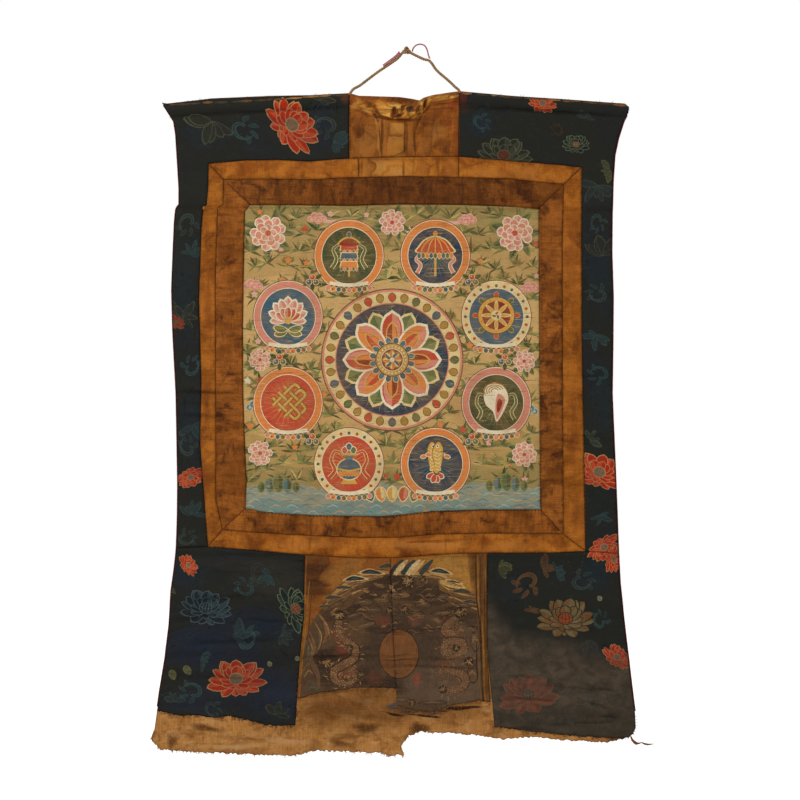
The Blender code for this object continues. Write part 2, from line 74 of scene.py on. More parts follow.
SLEEVE_HEIGHT, SLEEVE_FORWARD = 20, 2.6
SLEEVE_LEFT_TOP = ((-357, 74), (-84, 58))
SLEEVE_RIGHT_TOP = ((81, 55), (329, 74))
PLEAT_SEAM = [(748, 123), (818, 122), (893, 122.5), (972, 127.5)]
PLEAT_WIDTH, PLEAT_RIDGES, PLEAT_FORWARD = 13.5, 2, 1.5
CRUMPLE = [
    # x, drop of the roll's middle, half height, forward
    (-84, 66, 6, 3.0), (-62, 72, 8, 5.5), (-40, 76, 9, 4.0), (-20, 82, 12, 8.0), (0, 83, 13, 7.0),
    (12, 79, 10, 5.0), (22, 78, 7, 7.0), (30, 69, 7, 4.0), (55, 65, 7, 3.6), (81, 62, 6, 3.0),
]

# Creases and small wrinkles, which are finer than the folds
CREASES = [
    # from x, drop, to x, drop, depth, half width
    (78, 77, 330, 93, 1.5, 1.1), (-357, 93, -84, 78, 0.5, 1.0), (-48, 86, -39, 105, 1.5, 1.3),
    (-39, 103, -37, 154, 1.5, 1.2), (27, 88, 15, 112, 1.4, 1.4), (15, 110, 13, 152, 1.0, 1.4),
    (44, 92, 40, 126, 0.6, 1.6), (-1, 96, 0, 150, 0.8, 1.0), (-66, 90, -62, 140, 0.5, 1.6),
    (-352, 505, -240, 509, 0.9, 2.2), (-350, 540, -236, 543, 0.7, 2.0), (-350, 522, -280, 527, 0.5, 2.0),
    (200, 481, 309, 484, 0.6, 2.0), (202, 569, 310, 574, 0.8, 2.2), (205, 578, 305, 585, 0.5, 2.0),
    (-352, 824, -190, 806, 0.9, 2.6), (-345, 884, -175, 876, 1.0, 3.0), (-356, 846, -300, 842, 0.5, 2.0),
    (-362, 931, -210, 938, 0.6, 2.4), (-300, 775, -180, 782, 0.4, 2.0), (-150, 905, -20, 900, 0.9, 2.2),
    (-60, 868, 40, 866, 0.7, 1.8), (-20, 916, 116, 922, 0.8, 2.2), (-80, 893, -30, 886, 0.7, 1.6),
    (272, 948, 318, 956, 1.3, 1.6), (262, 968, 316, 984, 1.1, 1.6), (284, 993, 322, 994, 1.2, 1.6),
    (236, 1002, 322, 1002, 1.0, 1.6), (130, 1010, 230, 1013, 1.0, 1.8), (292, 886, 318, 896, 1.0, 1.8),
    (140, 930, 210, 936, 0.8, 2.0), (-352, 850, -270, 838, 1.0, 2.0), (-250, 846, -172, 852, 0.9, 2.0),
    (125, 962, 240, 972, 0.9, 2.4), (180, 944, 332, 956, 0.8, 2.4), (240, 928, 330, 932, 0.5, 2.0),
    (260, 902, 328, 912, 0.5, 2.0), (130, 1000, 300, 1008, 0.5, 2.2), (150, 858, 310, 866, 0.4, 2.6),
    (-70, 110, -38, 132, 0.7, 1.8), (20, 92, 12, 140, 0.6, 1.8), (46, 96, 52, 148, 0.5, 1.8),
    (12, 150, 13, 184, 0.5, 1.4), (48, 152, 52, 184, 0.6, 1.4), (-70, 150, -70, 186, 0.5, 1.2),
    (-141, 714, -143, 752, 0.9, 1.3), (-108, 726, -111, 756, 0.6, 1.2), (-168, 718, -171, 748, 0.5, 1.2),
    (60, 722, 62, 754, 0.7, 1.3), (118, 712, 115, 750, 0.6, 1.3), (-262, 330, -246, 338, 0.7, 1.3),
    (-130, 1026, -40, 1022, 0.7, 2.4), (-310, 1020, -190, 1030, 0.7, 2.4), (-120, 985, 0, 1000, 0.8, 3.0),
]

# Where the hanging cord runs, as in the solids: (x, height)
CORD_LEFT = [
    (-82, -56.8), (-77.5, -51.5), (-69, -47), (-57, -38), (-41, -26), (-29, -18), (-12.5, -6.5),
    (-5.6, 1.5),
]
CORD_RIGHT = [
    (9.3, 1.5), (20, -3.8), (28, -7.4), (35, -9), (40, -14.3), (45, -21.8), (51, -27.9), (58.5, -34.2),
    (67, -41.6), (75, -49.4), (79.5, -53),
]
CORD_FORWARD, CORD_DIAMETER = 1.5, 4.2
THREAD_LOOP = [
    (10.2, 4.3), (11.8, 9.5), (16.2, 13.8), (22.4, 15.3), (28.7, 13.1), (32.4, 6.9), (34.6, -1.8),
    (36.8, -6.2),
]
THREAD_END = [(-8.8, 3.4), (-14.6, -3.2), (-24.5, -10.6), (-33.4, -17.3)]
SHRED = [
    # x, drop, radius
    (337.5, 1022.4, 1.4), (340, 1028, 2.4), (345, 1032.6, 3.0), (350, 1032.5, 1.4), (353.5, 1031.2, 0.9),
    (358, 1033.2, 1.8), (363, 1034.2, 1.7), (368, 1033.6, 1.0), (372, 1033.3, 0.4),
]


def linear(code):
    """A colour such as "bf3d22" as linear red, green and blue."""
    parts = [int(code[i : i + 2], 16) / 255 for i in (0, 2, 4)]
    return tuple(c / 12.92 if c <= 0.04045 else ((c + 0.055) / 1.055) ** 2.4 for c in parts)


# The drape


def smooth(share):
    share = np.clip(share, 0.0, 1.0)
    return share * share * (3 - 2 * share)


@functools.lru_cache(maxsize=None)
def lattice_of(seed):
    return np.random.default_rng(seed).uniform(-1, 1, (97, 97))


def waver(x, drop, wide, tall, seed):
    """Smooth random waves from -1 to 1, about wide by tall millimetres each."""
    lattice = lattice_of(seed)
    u, v = np.asarray(x) / wide + 50, np.asarray(drop) / tall + 10
    column, row = np.floor(u).astype(int), np.floor(v).astype(int)
    across, down = smooth(u - column), smooth(v - row)
    a, b = lattice[column % 97, row % 97], lattice[(column + 1) % 97, row % 97]
    c, d = lattice[column % 97, (row + 1) % 97], lattice[(column + 1) % 97, (row + 1) % 97]
    return (a * (1 - across) + b * across) * (1 - down) + (c * (1 - across) + d * across) * down


def row_of(x, drop):
    """The row through a place, named by its drop at x = 0."""
    row = drop - np.interp(drop, LEAN_DROPS, LEANS) * x
    return drop - np.interp(row, LEAN_DROPS, LEANS) * x


def fold_height(x, drop):
    row = row_of(x, drop)
    height = np.zeros_like(row)
    for line, above, below, forward, start, end, fade in FOLDS:
        reach = np.where(row < line, above, below)
        across = smooth((x - start) / fade) * smooth((end - x) / fade)
        height += forward * across * smooth(1 - np.abs(row - line) / reach)
    near_an_end = 0.45 + 0.35 * smooth((180 - row) / 120) + 0.55 * smooth((row - 800) / 200)
    curl = np.maximum(0.0, (np.abs(x) - CURL_STARTS) / CURL_WIDTH)
    wave = np.sin(2 * math.pi * (x + 40) / WAVE_LENGTH) * smooth((row - WAVE_STARTS) / WAVE_GROWS)
    return height + CURL_FORWARD * near_an_end * curl**2 + WAVE_FORWARD * (1 + wave) / 2


def crease_depth(x, drop):
    """How deep the creases cut, and nothing away from them."""
    depth = np.zeros_like(x)
    drift = 1.2 * waver(x, drop, 16, 16, 5)
    for x0, drop0, x1, drop1, deep, half in CREASES:
        dx, dd = x1 - x0, drop1 - drop0
        long = math.hypot(dx, dd)
        along = ((x - x0) * dx + (drop - drop0) * dd) / long
        aside = ((x - x0) * dd - (drop - drop0) * dx) / long + drift
        fade = smooth(along / (0.3 * long)) * smooth((long - along) / (0.3 * long))
        depth = np.maximum(depth, deep * fade * np.exp(-((aside / half) ** 2)))
    return depth


def drape(x, drop):
    """The height of the cloths' back, with the folds, soft rolls and small unevenness."""
    x, drop = np.asarray(x, float), np.asarray(drop, float)
    height = fold_height(x, drop) - crease_depth(x, drop)
    height += 0.55 * waver(x, drop, 150, 34, 1) + 0.22 * waver(x, drop, 60, 11, 2)
    height += 0.12 * waver(x, drop, 15, 15, 3)
    rough = smooth((drop - 740) / 60)
    return height + rough * (0.5 * waver(x, drop, 70, 24, 4) + 0.2 * waver(x, drop, 26, 9, 6))


# Drawing on cloth


def curved(points, step, closed):
    """Points about step apart on a smooth curve through the given ones."""
    count = len(points)
    ends = [points[-1], *points, points[0], points[1]] if closed else [points[0], *points, points[-1]]
    made = []
    for i in range(count if closed else count - 1):
        before, start, end, after = (np.array(p, float) for p in ends[i : i + 4])
        pieces = max(1, min(12, round(float(np.linalg.norm(end - start)) / step)))
        for k in range(pieces):
            t = k / pieces
            made.append(
                0.5 * (2 * start + (end - before) * t + (2 * before - 5 * start + 4 * end - after) * t**2
                       + (3 * start - before - 3 * end + after) * t**3)
            )
    if not closed:
        made.append(np.array(points[-1], float))
    return np.array(made)


class Pen:
    """Lays flat shapes on a cloth, later ones on top, from its own place, at its own size and turn."""

    def __init__(self, shapes, x=0.0, drop=0.0, size=1.0, turn=0.0, flip=1, squash=1.0):
        self.shapes = shapes
        self.spot = np.array((x, drop), float)
        cos, sin = math.cos(math.radians(turn)), math.sin(math.radians(turn))
        self.frame = size * np.array(((cos, -sin), (sin, cos))) @ np.diag((flip, squash))
        self.size = size
        self.kind = 1.0

    def at(self, x, drop, size=1.0, turn=0.0, flip=1, squash=1.0):
        pen = Pen(self.shapes, 0, 0, size, turn, flip, squash)
        pen.spot = self.spot + self.frame @ np.array((x, drop), float)
        pen.frame = self.frame @ pen.frame
        pen.size = self.size * size
        pen.kind = self.kind
        return pen

    def fill(self, points, colour, kind=None):
        placed = np.asarray(points, float) @ self.frame.T + self.spot
        ahead = np.roll(placed, -1, axis=0)
        area = float(np.sum(placed[:, 0] * ahead[:, 1] - ahead[:, 0] * placed[:, 1])) / 2
        if abs(area) > 0.05:
            share = self.kind if kind is None else kind
            self.shapes.append((placed if area > 0 else placed[::-1], colour, share, abs(area)))

    def blob(self, points, colour, step=1.8, kind=None):
        self.fill(curved(points, step / self.size, True), colour, kind)

    def disc(self, x, drop, radius, colour, squash=1.0, turn=0.0, kind=None):
        count = int(max(8, min(72, 2 * math.pi * radius * self.size / 1.8)))
        angles = np.arange(count) * 2 * math.pi / count
        circle = np.stack((radius * np.cos(angles), radius * squash * np.sin(angles)), axis=1)
        cos, sin = math.cos(math.radians(turn)), math.sin(math.radians(turn))
        self.fill(circle @ np.array(((cos, sin), (-sin, cos))) + (x, drop), colour, kind)

    def line(self, points, width, colour, taper=(1.0, 1.0), step=1.8, kind=None):
        """A ribbon along a smooth line. taper gives the shares of the width at its two ends."""
        middle = curved(points, step / self.size, False)
        ahead = np.gradient(middle, axis=0)
        ahead /= np.maximum(1e-9, np.linalg.norm(ahead, axis=1))[:, None]
        aside = np.stack((-ahead[:, 1], ahead[:, 0]), axis=1)
        t = np.linspace(0, 1, len(middle))
        share = np.interp(t, (0, 0.5, 1), (taper[0], 1.0, taper[1]))[:, None]
        one, other = middle + aside * width / 2 * share, middle - aside * width / 2 * share
        for i in range(0, len(middle) - 1, 3):
            end = min(i + 4, len(middle))
            self.fill(np.concatenate((one[i:end], other[i:end][::-1])), colour, kind)

    def leaf(self, angle, length, width, colour, bend=0.0):
        """A narrow leaf in one colour. width is its half width over its length."""
        pen = self.at(0, 0, length, angle)
        t = np.linspace(0, 1, 5)
        swell = np.stack((width * np.sin(math.pi * t**0.8), np.zeros(5)), axis=1)
        middle = np.stack((bend * t**2, -t), axis=1)
        pen.fill(np.concatenate((middle - swell, (middle + swell)[-2:0:-1])), colour)

    def petal(self, angle, length, width, edge, colour, bend=0.0, rim=0.13, half=None):
        """A pointed petal that starts here and points up, turned by angle degrees clockwise.

        width is its half width over its length, bend moves its tip aside, and half is the colour of the
        half that catches the light.
        """
        pen = self.at(0, 0, length, angle)
        t = np.linspace(0, 1, int(np.clip(length * self.size / 2.4, 4, 9)) + 1)
        swell = 2.53 * t**0.75 * (1 - t) ** 0.6
        middle = np.stack((bend * t**2, -t), axis=1)

        def side(line, reach, sign):
            return line + np.stack((sign * reach * swell, np.zeros(len(t))), axis=1)

        pen.fill(np.concatenate((side(middle, width, -1), side(middle, width, 1)[-2:0:-1])), edge)
        within = middle * (1, 1 - 1.2 * rim) + (0, -0.5 * rim)
        inner = width * (1 - 1.7 * rim)
        pen.fill(np.concatenate((side(within, inner, -1), side(within, inner, 1)[-2:0:-1])), colour)
        if half is not None and length * self.size > 7:
            lit = side(within, inner * 0.86, 1)
            pen.fill(np.concatenate((within[2:], lit[-2:1:-1])), half)


LOTUS_PETALS = [
    # angle, length, half width over length
    (-176, 0.72, 0.29), (152, 0.80, 0.26), (-146, 0.86, 0.25), (126, 1.0, 0.21), (-121, 1.08, 0.21),
    (103, 1.12, 0.18), (-98, 1.05, 0.19), (81, 1.08, 0.20), (-74, 1.0, 0.21), (57, 1.06, 0.23),
    (-50, 0.98, 0.23), (33, 0.98, 0.25), (-27, 0.94, 0.25), (4, 0.92, 0.27), (-160, 0.48, 0.34),
    (168, 0.46, 0.34), (132, 0.6, 0.28), (-130, 0.58, 0.28), (99, 0.62, 0.26), (-97, 0.6, 0.26),
    (65, 0.66, 0.28), (-60, 0.64, 0.28), (35, 0.68, 0.3), (-30, 0.64, 0.3), (2, 0.62, 0.32),
]
LOTUS_INKS = {
    # palette: rim, petal, lit half, pod, pod line
    "red": ("bd8656", "b02c12", "c44c2a", "716f55", "9a4a36"),
    "red_dark": ("8a5a38", "7c2714", "8c3a24", "4c553e", "7c4530"),
    "olive": ("5a5a40", "282a22", "3d3f30", "642a1c", "4a3a28"),
    "blue": ("4f6268", "1c2427", "33474c", "1f2829", "4f6268"),
    "pale": ("6c7350", "1a2226", "33402f", "8a3219", "6c7350"),
    "orange": ("24261c", "74502f", "6f6444", "8f4726", "5a3018"),
    "faded": ("86603f", "7c3c2a", "9a4e38", "4a3e33", "86603f"),
    "grey": ("4a4f44", "22251f", "2f332b", "22251f", "4a4f44"),
}


def lotus(pen, palette, size, turn=0.0, flip=1, squash=0.84, seed=0):
    """A lotus seen from its side, as wide as twice size, round its seed pod."""
    rim, fill, lit, pod, pod_line = LOTUS_INKS[palette]
    draws = random.Random(seed)
    flower = pen.at(0, 0, size, turn, flip, squash)
    for angle, length, width in LOTUS_PETALS:
        bend = -0.2 * math.copysign(1, angle) if 40 < abs(angle) < 140 else draws.uniform(-0.08, 0.08)
        flower.petal(
            angle + draws.uniform(-6, 6), length * draws.uniform(0.92, 1.04),
            width * draws.uniform(0.9, 1.1), rim, fill, bend, 0.075, lit if draws.random() < 0.75 else None,
        )
    flower.disc(0, -0.06, 0.26, rim)
    flower.disc(0, -0.06, 0.23, pod)
    flower.line([(-0.2, -0.1), (0, -0.02), (0.2, -0.1)], 0.03, pod_line)
    for x in (-0.11, 0.0, 0.11):
        flower.line([(x * 0.8, 0.12), (x * 1.2, -0.04), (x * 0.8, -0.24)], 0.03, pod_line)


def scroll(pen, size, edge, fill, turn=0.0, flip=1):
    """A fat curling leaf with lobes along its back."""
    part = pen.at(0, 0, size, turn, flip, 0.8)
    for angle, bend in ((-15, 0.4), (30, 0.5), (75, 0.45), (120, 0.3)):
        away = math.radians(angle)
        part.at(math.sin(away) * 0.45, -math.cos(away) * 0.45).petal(
            angle, 0.62, 0.28, edge, fill, bend, 0.1,
        )
    curl = [
        (0.75 * math.cos(0.7 * k) * (1 - 0.09 * k), 0.75 * math.sin(0.7 * k) * (1 - 0.09 * k))
        for k in range(8)
    ]
    part.line(curl, 0.3, edge, (0.1, 0.7))
    part.line(curl[1:], 0.16, fill, (0.2, 0.7))


def spray(pen, size, edge, fill, turn=0.0, seed=0):
    """A cluster of uneven leaves from one point."""
    draws = random.Random(seed)
    for k in range(6):
        angle = turn + 150 * (k / 5 - 0.5) + draws.uniform(-14, 14)
        pen.petal(
            angle, size * draws.uniform(0.55, 1.05), draws.uniform(0.14, 0.24), edge, fill,
            draws.uniform(-0.4, 0.4), 0.09,
        )


def bud(pen, size, edge, fill, turn=0.0):
    """A small striped bud."""
    part = pen.at(0, 0, size, turn)
    part.petal(0, 1.0, 0.34, edge, edge)
    for k in range(4):
        drop = -0.28 - 0.17 * k
        part.line([(-0.2, drop + 0.06), (0, drop), (0.2, drop + 0.06)], 0.06, fill)


# Cloths


def outline_of(node):
    """The outline of a node's front, clockwise on the page, in millimetres."""
    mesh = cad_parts[node].data
    corners, spots = {}, []
    used = {}
    for face in mesh.polygons:
        if face.normal.y > -0.3:
            continue
        ring = []
        for index in face.vertices:
            place = mesh.vertices[index].co
            key = (round(place.x / MM, 2), round(-place.z / MM, 2))
            if key not in corners:
                corners[key] = len(spots)
                spots.append(key)
            ring.append(corners[key])
        for a, b in zip(ring, ring[1:] + ring[:1]):
            used.setdefault((min(a, b), max(a, b)), []).append((a, b))
    following = {edges[0][0]: edges[0][1] for edges in used.values() if len(edges) == 1}
    start = next(iter(following))
    loop, here = [], start
    while True:
        loop.append(spots[here])
        here = following[here]
        if here == start:
            break
    kept = []
    for before, here, after in zip(loop[-1:] + loop[:-1], loop, loop[1:] + loop[:1]):
        turn = (here[0] - before[0]) * (after[1] - here[1]) - (here[1] - before[1]) * (after[0] - here[0])
        if abs(turn) > 0.02 * math.dist(before, after):
            kept.append(here)
    return np.array(kept)


def grown(outline, by):
    """The outline moved outwards by that much."""
    ahead, behind = np.roll(outline, -1, axis=0), np.roll(outline, 1, axis=0)
    area = np.sum(outline[:, 0] * ahead[:, 1] - ahead[:, 0] * outline[:, 1])
    side = -1.0 if area > 0 else 1.0
    first, second = outline - behind, ahead - outline
    first /= np.linalg.norm(first, axis=1)[:, None]
    second /= np.linalg.norm(second, axis=1)[:, None]
    aside = np.stack((-(first + second)[:, 1], (first + second)[:, 0]), axis=1) * side
    scale = by / np.maximum(0.4, 1 + np.sum(first * second, axis=1))
    return outline + aside * scale[:, None]


def filled_in(outline, step):
    """The outline with points at most about step apart."""
    made = []
    for here, after in zip(outline, np.roll(outline, -1, axis=0)):
        pieces = max(1, int(math.dist(here, after) / step + 0.5))
        made += [here + (after - here) * k / pieces for k in range(pieces)]
    return np.array(made)


def torn(outline, is_torn, seed, reach=1.6):
    """The outline made ragged where is_torn(x, drop) says so."""
    draws = random.Random(seed)
    made = []
    for x, drop in filled_in(outline, 2.2):
        if is_torn(x, drop):
            x, drop = x + draws.uniform(-0.7, 0.7), drop + draws.uniform(-reach, reach * 0.6)
        made.append((x, drop))
    return np.array(made)


def distance_to(outline, x, drop):
    """How far places lie from an outline."""
    nearest = np.full(len(x), 1e9)
    for (ax, ad), (bx, bd) in zip(outline, np.roll(outline, -1, axis=0)):
        dx, dd = bx - ax, bd - ad
        long = dx * dx + dd * dd
        if long < 1e-9:
            continue
        share = np.clip(((x - ax) * dx + (drop - ad) * dd) / long, 0, 1)
        nearest = np.minimum(nearest, (x - ax - share * dx) ** 2 + (drop - ad - share * dd) ** 2)
    return np.sqrt(nearest)


def laid_points(outline, step_x, step_drop):
    """A brick-like net of points over an outline's box, with closer ones beside the creases."""
    low, high = outline.min(axis=0), outline.max(axis=0)
    rows = np.arange(low[1] + step_drop * 0.7, high[1], step_drop)
    made = []
    for n, drop in enumerate(rows):
        start = low[0] + step_x * (0.35 if n % 2 else 0.85)
        made += [(x + 0.13 * math.sin(7.1 * x + drop), drop) for x in np.arange(start, high[0], step_x)]
    for x0, drop0, x1, drop1, _, half in CREASES:
        long = math.hypot(x1 - x0, drop1 - drop0)
        count = int(long / 3.4)
        for k in range(count + 1):
            x, drop = x0 + (x1 - x0) * k / count, drop0 + (drop1 - drop0) * k / count
            for aside in (-0.8 * half, 0, 0.8 * half):
                px, pd = x - aside * (drop1 - drop0) / long, drop + aside * (x1 - x0) / long
                if low[0] < px < high[0] and low[1] < pd < high[1]:
                    made.append((px + 0.011 * k, pd))
    return made


def make_cloth(
    name, node, material, outline=None, shapes=(), ground="806040", step=(6.0, 4.2), lift=GAP + CLOTH,
    rise=None, edge=1.1, edge_width=2.6, thickness=0.9, closed=False, haze_and_shade=None,
    dark=0.55,
):
    """A sheet on the folds, cut to an outline and drawn on with flat shapes.

    A shape whose share is below nothing is a thin wash that lets what it lies on show through.
    rise(x, drop) is extra height, edge is how far the cloth sinks to its seams within edge_width, and
    a closed sheet has its own back, while the others are turned back at the edges only.
    """
    if outline is None:
        outline = filled_in(grown(outline_of(node), 0.22), 5.0)
    area = abs(float(np.sum(
        outline[:, 0] * np.roll(outline[:, 1], -1) - np.roll(outline[:, 0], -1) * outline[:, 1]
    ))) / 2
    loops = [(outline, ground, 0.0, area), *shapes]
    places, faces = [], []
    for loop, _, _, _ in loops:
        ahead = np.roll(loop, -1, axis=0)
        signed = np.sum(loop[:, 0] * ahead[:, 1] - ahead[:, 0] * loop[:, 1])
        loop = loop if signed > 0 else loop[::-1]
        faces.append(list(range(len(places), len(places) + len(loop))))
        places += [Vector((float(x), float(drop))) for x, drop in loop]
    for inward in (0.5 * edge_width, edge_width, 1.9 * edge_width):
        ring = filled_in(grown(outline, -inward), 5.0)
        places += [Vector((float(x), float(drop))) for x, drop in ring]
    places += [Vector((float(x), float(drop))) for x, drop in laid_points(outline, *step)]
    spots, _, triangles, _, _, sources = delaunay_2d_cdt(places, [], faces, 0, 1e-4, True)
    spots = np.array([tuple(spot) for spot in spots])
    triangles = np.array(triangles)
    a, b, c = (spots[triangles[:, k]] for k in range(3))
    sizes = ((b[:, 0] - a[:, 0]) * (c[:, 1] - a[:, 1]) - (c[:, 0] - a[:, 0]) * (b[:, 1] - a[:, 1])) / 2

    reached = np.zeros(len(loops))
    for size, source in zip(np.abs(sizes), sources):
        for index in source:
            reached[index] += size
    sound = [reached[k] < 1.25 * loops[k][3] + 1.5 for k in range(len(loops))]
    colours = [linear(loop[1]) for loop in loops]
    kept, inks = [], []
    for triangle, size, source in zip(triangles, sizes, sources):
        if 0 not in source or abs(size) < 1e-7:
            continue
        ink, kind = colours[0], 0.0
        for index in sorted(source):
            share = loops[index][2]
            if sound[index] and share >= 0:
                ink, kind = colours[index], share
            elif sound[index]:
                ink = tuple(under * (1 + share) - over * share for under, over in zip(ink, colours[index]))
        kept.append(triangle if size > 0 else triangle[::-1])
        inks.append((*ink, kind))
    kept, inks = np.array(kept), np.array(inks)
    used, kept = np.unique(kept, return_inverse=True)
    kept = kept.reshape(-1, 3)
    spots = spots[used]
    x, drop = spots[:, 0], spots[:, 1]

    inside = distance_to(outline, x, drop)
    seam = 1 - np.sqrt(np.clip(1 - (1 - np.clip(inside / edge_width, 0, 1)) ** 2, 0, 1))
    height = drape(x, drop) + lift - edge * seam
    if rise is not None:
        height += rise(x, drop)
    shade = np.exp(-inside / 0.9) * dark + np.minimum(0.5, 0.42 * crease_depth(x, drop))
    # Values from a function that tint the cloth: a grey-brown stain on the lower right brocade, a darker
    # middle on the inner top strip, and painted shade on the lining under the door.
    haze_and_shade_values = np.zeros(len(x)) if haze_and_shade is None else haze_and_shade(x, drop)

    count = len(spots)
    front = np.stack((x * MM, -height * MM, -drop * MM), axis=1)
    edges = {}
    for p, q, r in kept:
        for start, end in ((p, q), (q, r), (r, p)):
            if (end, start) in edges:
                del edges[(end, start)]
            else:
                edges[(start, end)] = True
    if closed:
        back = front + (0, thickness * MM, 0)
        behind = np.arange(count) + count
        places = np.concatenate((front, back))
        more = [triangle[::-1] + count for triangle in kept]
        twin = {k: behind[k] for k in range(count)}
    else:
        rim = sorted({k for edge_ in edges for k in edge_})
        twin = {k: count + n for n, k in enumerate(rim)}
        places = np.concatenate((front, front[rim] + (0, thickness * MM, 0)))
        more = []
    sides = []
    for start, end in edges:
        sides += [(end, start, twin[start]), (end, twin[start], twin[end])]
    # On the page x runs right and drop runs down, so a face that turns the positive way there faces back
    rings = [tuple(int(k) for k in triangle[::-1]) for triangle in kept]
    rings += [tuple(int(k) for k in triangle[::-1]) for triangle in more]
    rings += [tuple(int(k) for k in triangle[::-1]) for triangle in sides]
    mesh = bpy.data.meshes.new(name)
    mesh.from_pydata([tuple(place) for place in places], [], rings)

    extra = len(places) - count
    tail = np.array([k for k in twin]) if not closed else np.arange(count)
    rim_of = tail if closed else np.array(sorted(twin, key=twin.get))
    shade_all = np.concatenate((shade, shade[rim_of])) if extra else shade
    haze_and_shade_all = np.concatenate((haze_and_shade_values, haze_and_shade_values[rim_of])) if extra else haze_and_shade_values
    for label, values in (("shade", shade_all), ("haze_and_shade", haze_and_shade_all)):
        layer = mesh.attributes.new(label, "FLOAT", "POINT")
        layer.data.foreach_set("value", values.astype(np.float32))
    ground_ink = np.array((*linear(ground), 0.0))
    corner_inks = np.repeat(inks, 3, axis=0)
    rest = np.tile(ground_ink, (3 * (len(rings) - len(kept)), 1))
    paint = mesh.attributes.new("paint", "FLOAT_COLOR", "CORNER")
    paint.data.foreach_set("color", np.concatenate((corner_inks, rest)).astype(np.float32).ravel())

    low, high = spots.min(axis=0) - 3, spots.max(axis=0) + 3
    span = high - low
    page = np.stack(((x - low[0]) / span[0], (high[1] - drop) / span[1]), axis=1)
    uv = mesh.uv_layers.new(name="OFBake")
    loop_vertices = np.array([k for ring in rings for k in ring])
    if closed:
        left, right = page * (0.49, 1), page * (0.49, 1) + (0.51, 0)
        sheet = np.concatenate((left, right))[loop_vertices]
        side_start = 3 * (len(kept) + len(more))
    else:
        sheet = np.concatenate((page, page[rim_of]))[loop_vertices]
        side_start = 3 * len(kept)
    sheet[side_start:] = side_uvs(sides, page, thickness / span, 0.49 if closed else 1.0)
    uv.data.foreach_set("uv", sheet.astype(np.float32).ravel())
    mesh.shade_smooth()
    mesh.validate()
    obj = bpy.data.objects.new(name, mesh)
    bpy.context.scene.collection.objects.link(obj)
    obj.data.materials.append(material)
    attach(obj, ROOT)
    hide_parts(node)
    return obj


def side_uvs(sides, page, out, squeeze):
    """Places for the turned-back edge, just outside the cloth's own place on the bake's page."""
    made = []
    for n in range(0, len(sides), 2):
        end, start, _ = sides[n]
        a, b = page[start], page[end]
        along = b - a
        aside = np.array((along[1], -along[0]))
        size = max(1e-9, float(np.linalg.norm(aside)))
        away = aside / size * out * 0.8
        quad = {start: a, end: b, "start": a + away, "end": b + away}
        first = [quad[end], quad[start], quad["start"]]
        second = [quad[end], quad["start"], quad["end"]]
        made += first[::-1] + second[::-1]
    return np.array(made) * (squeeze, 1)


# Looks


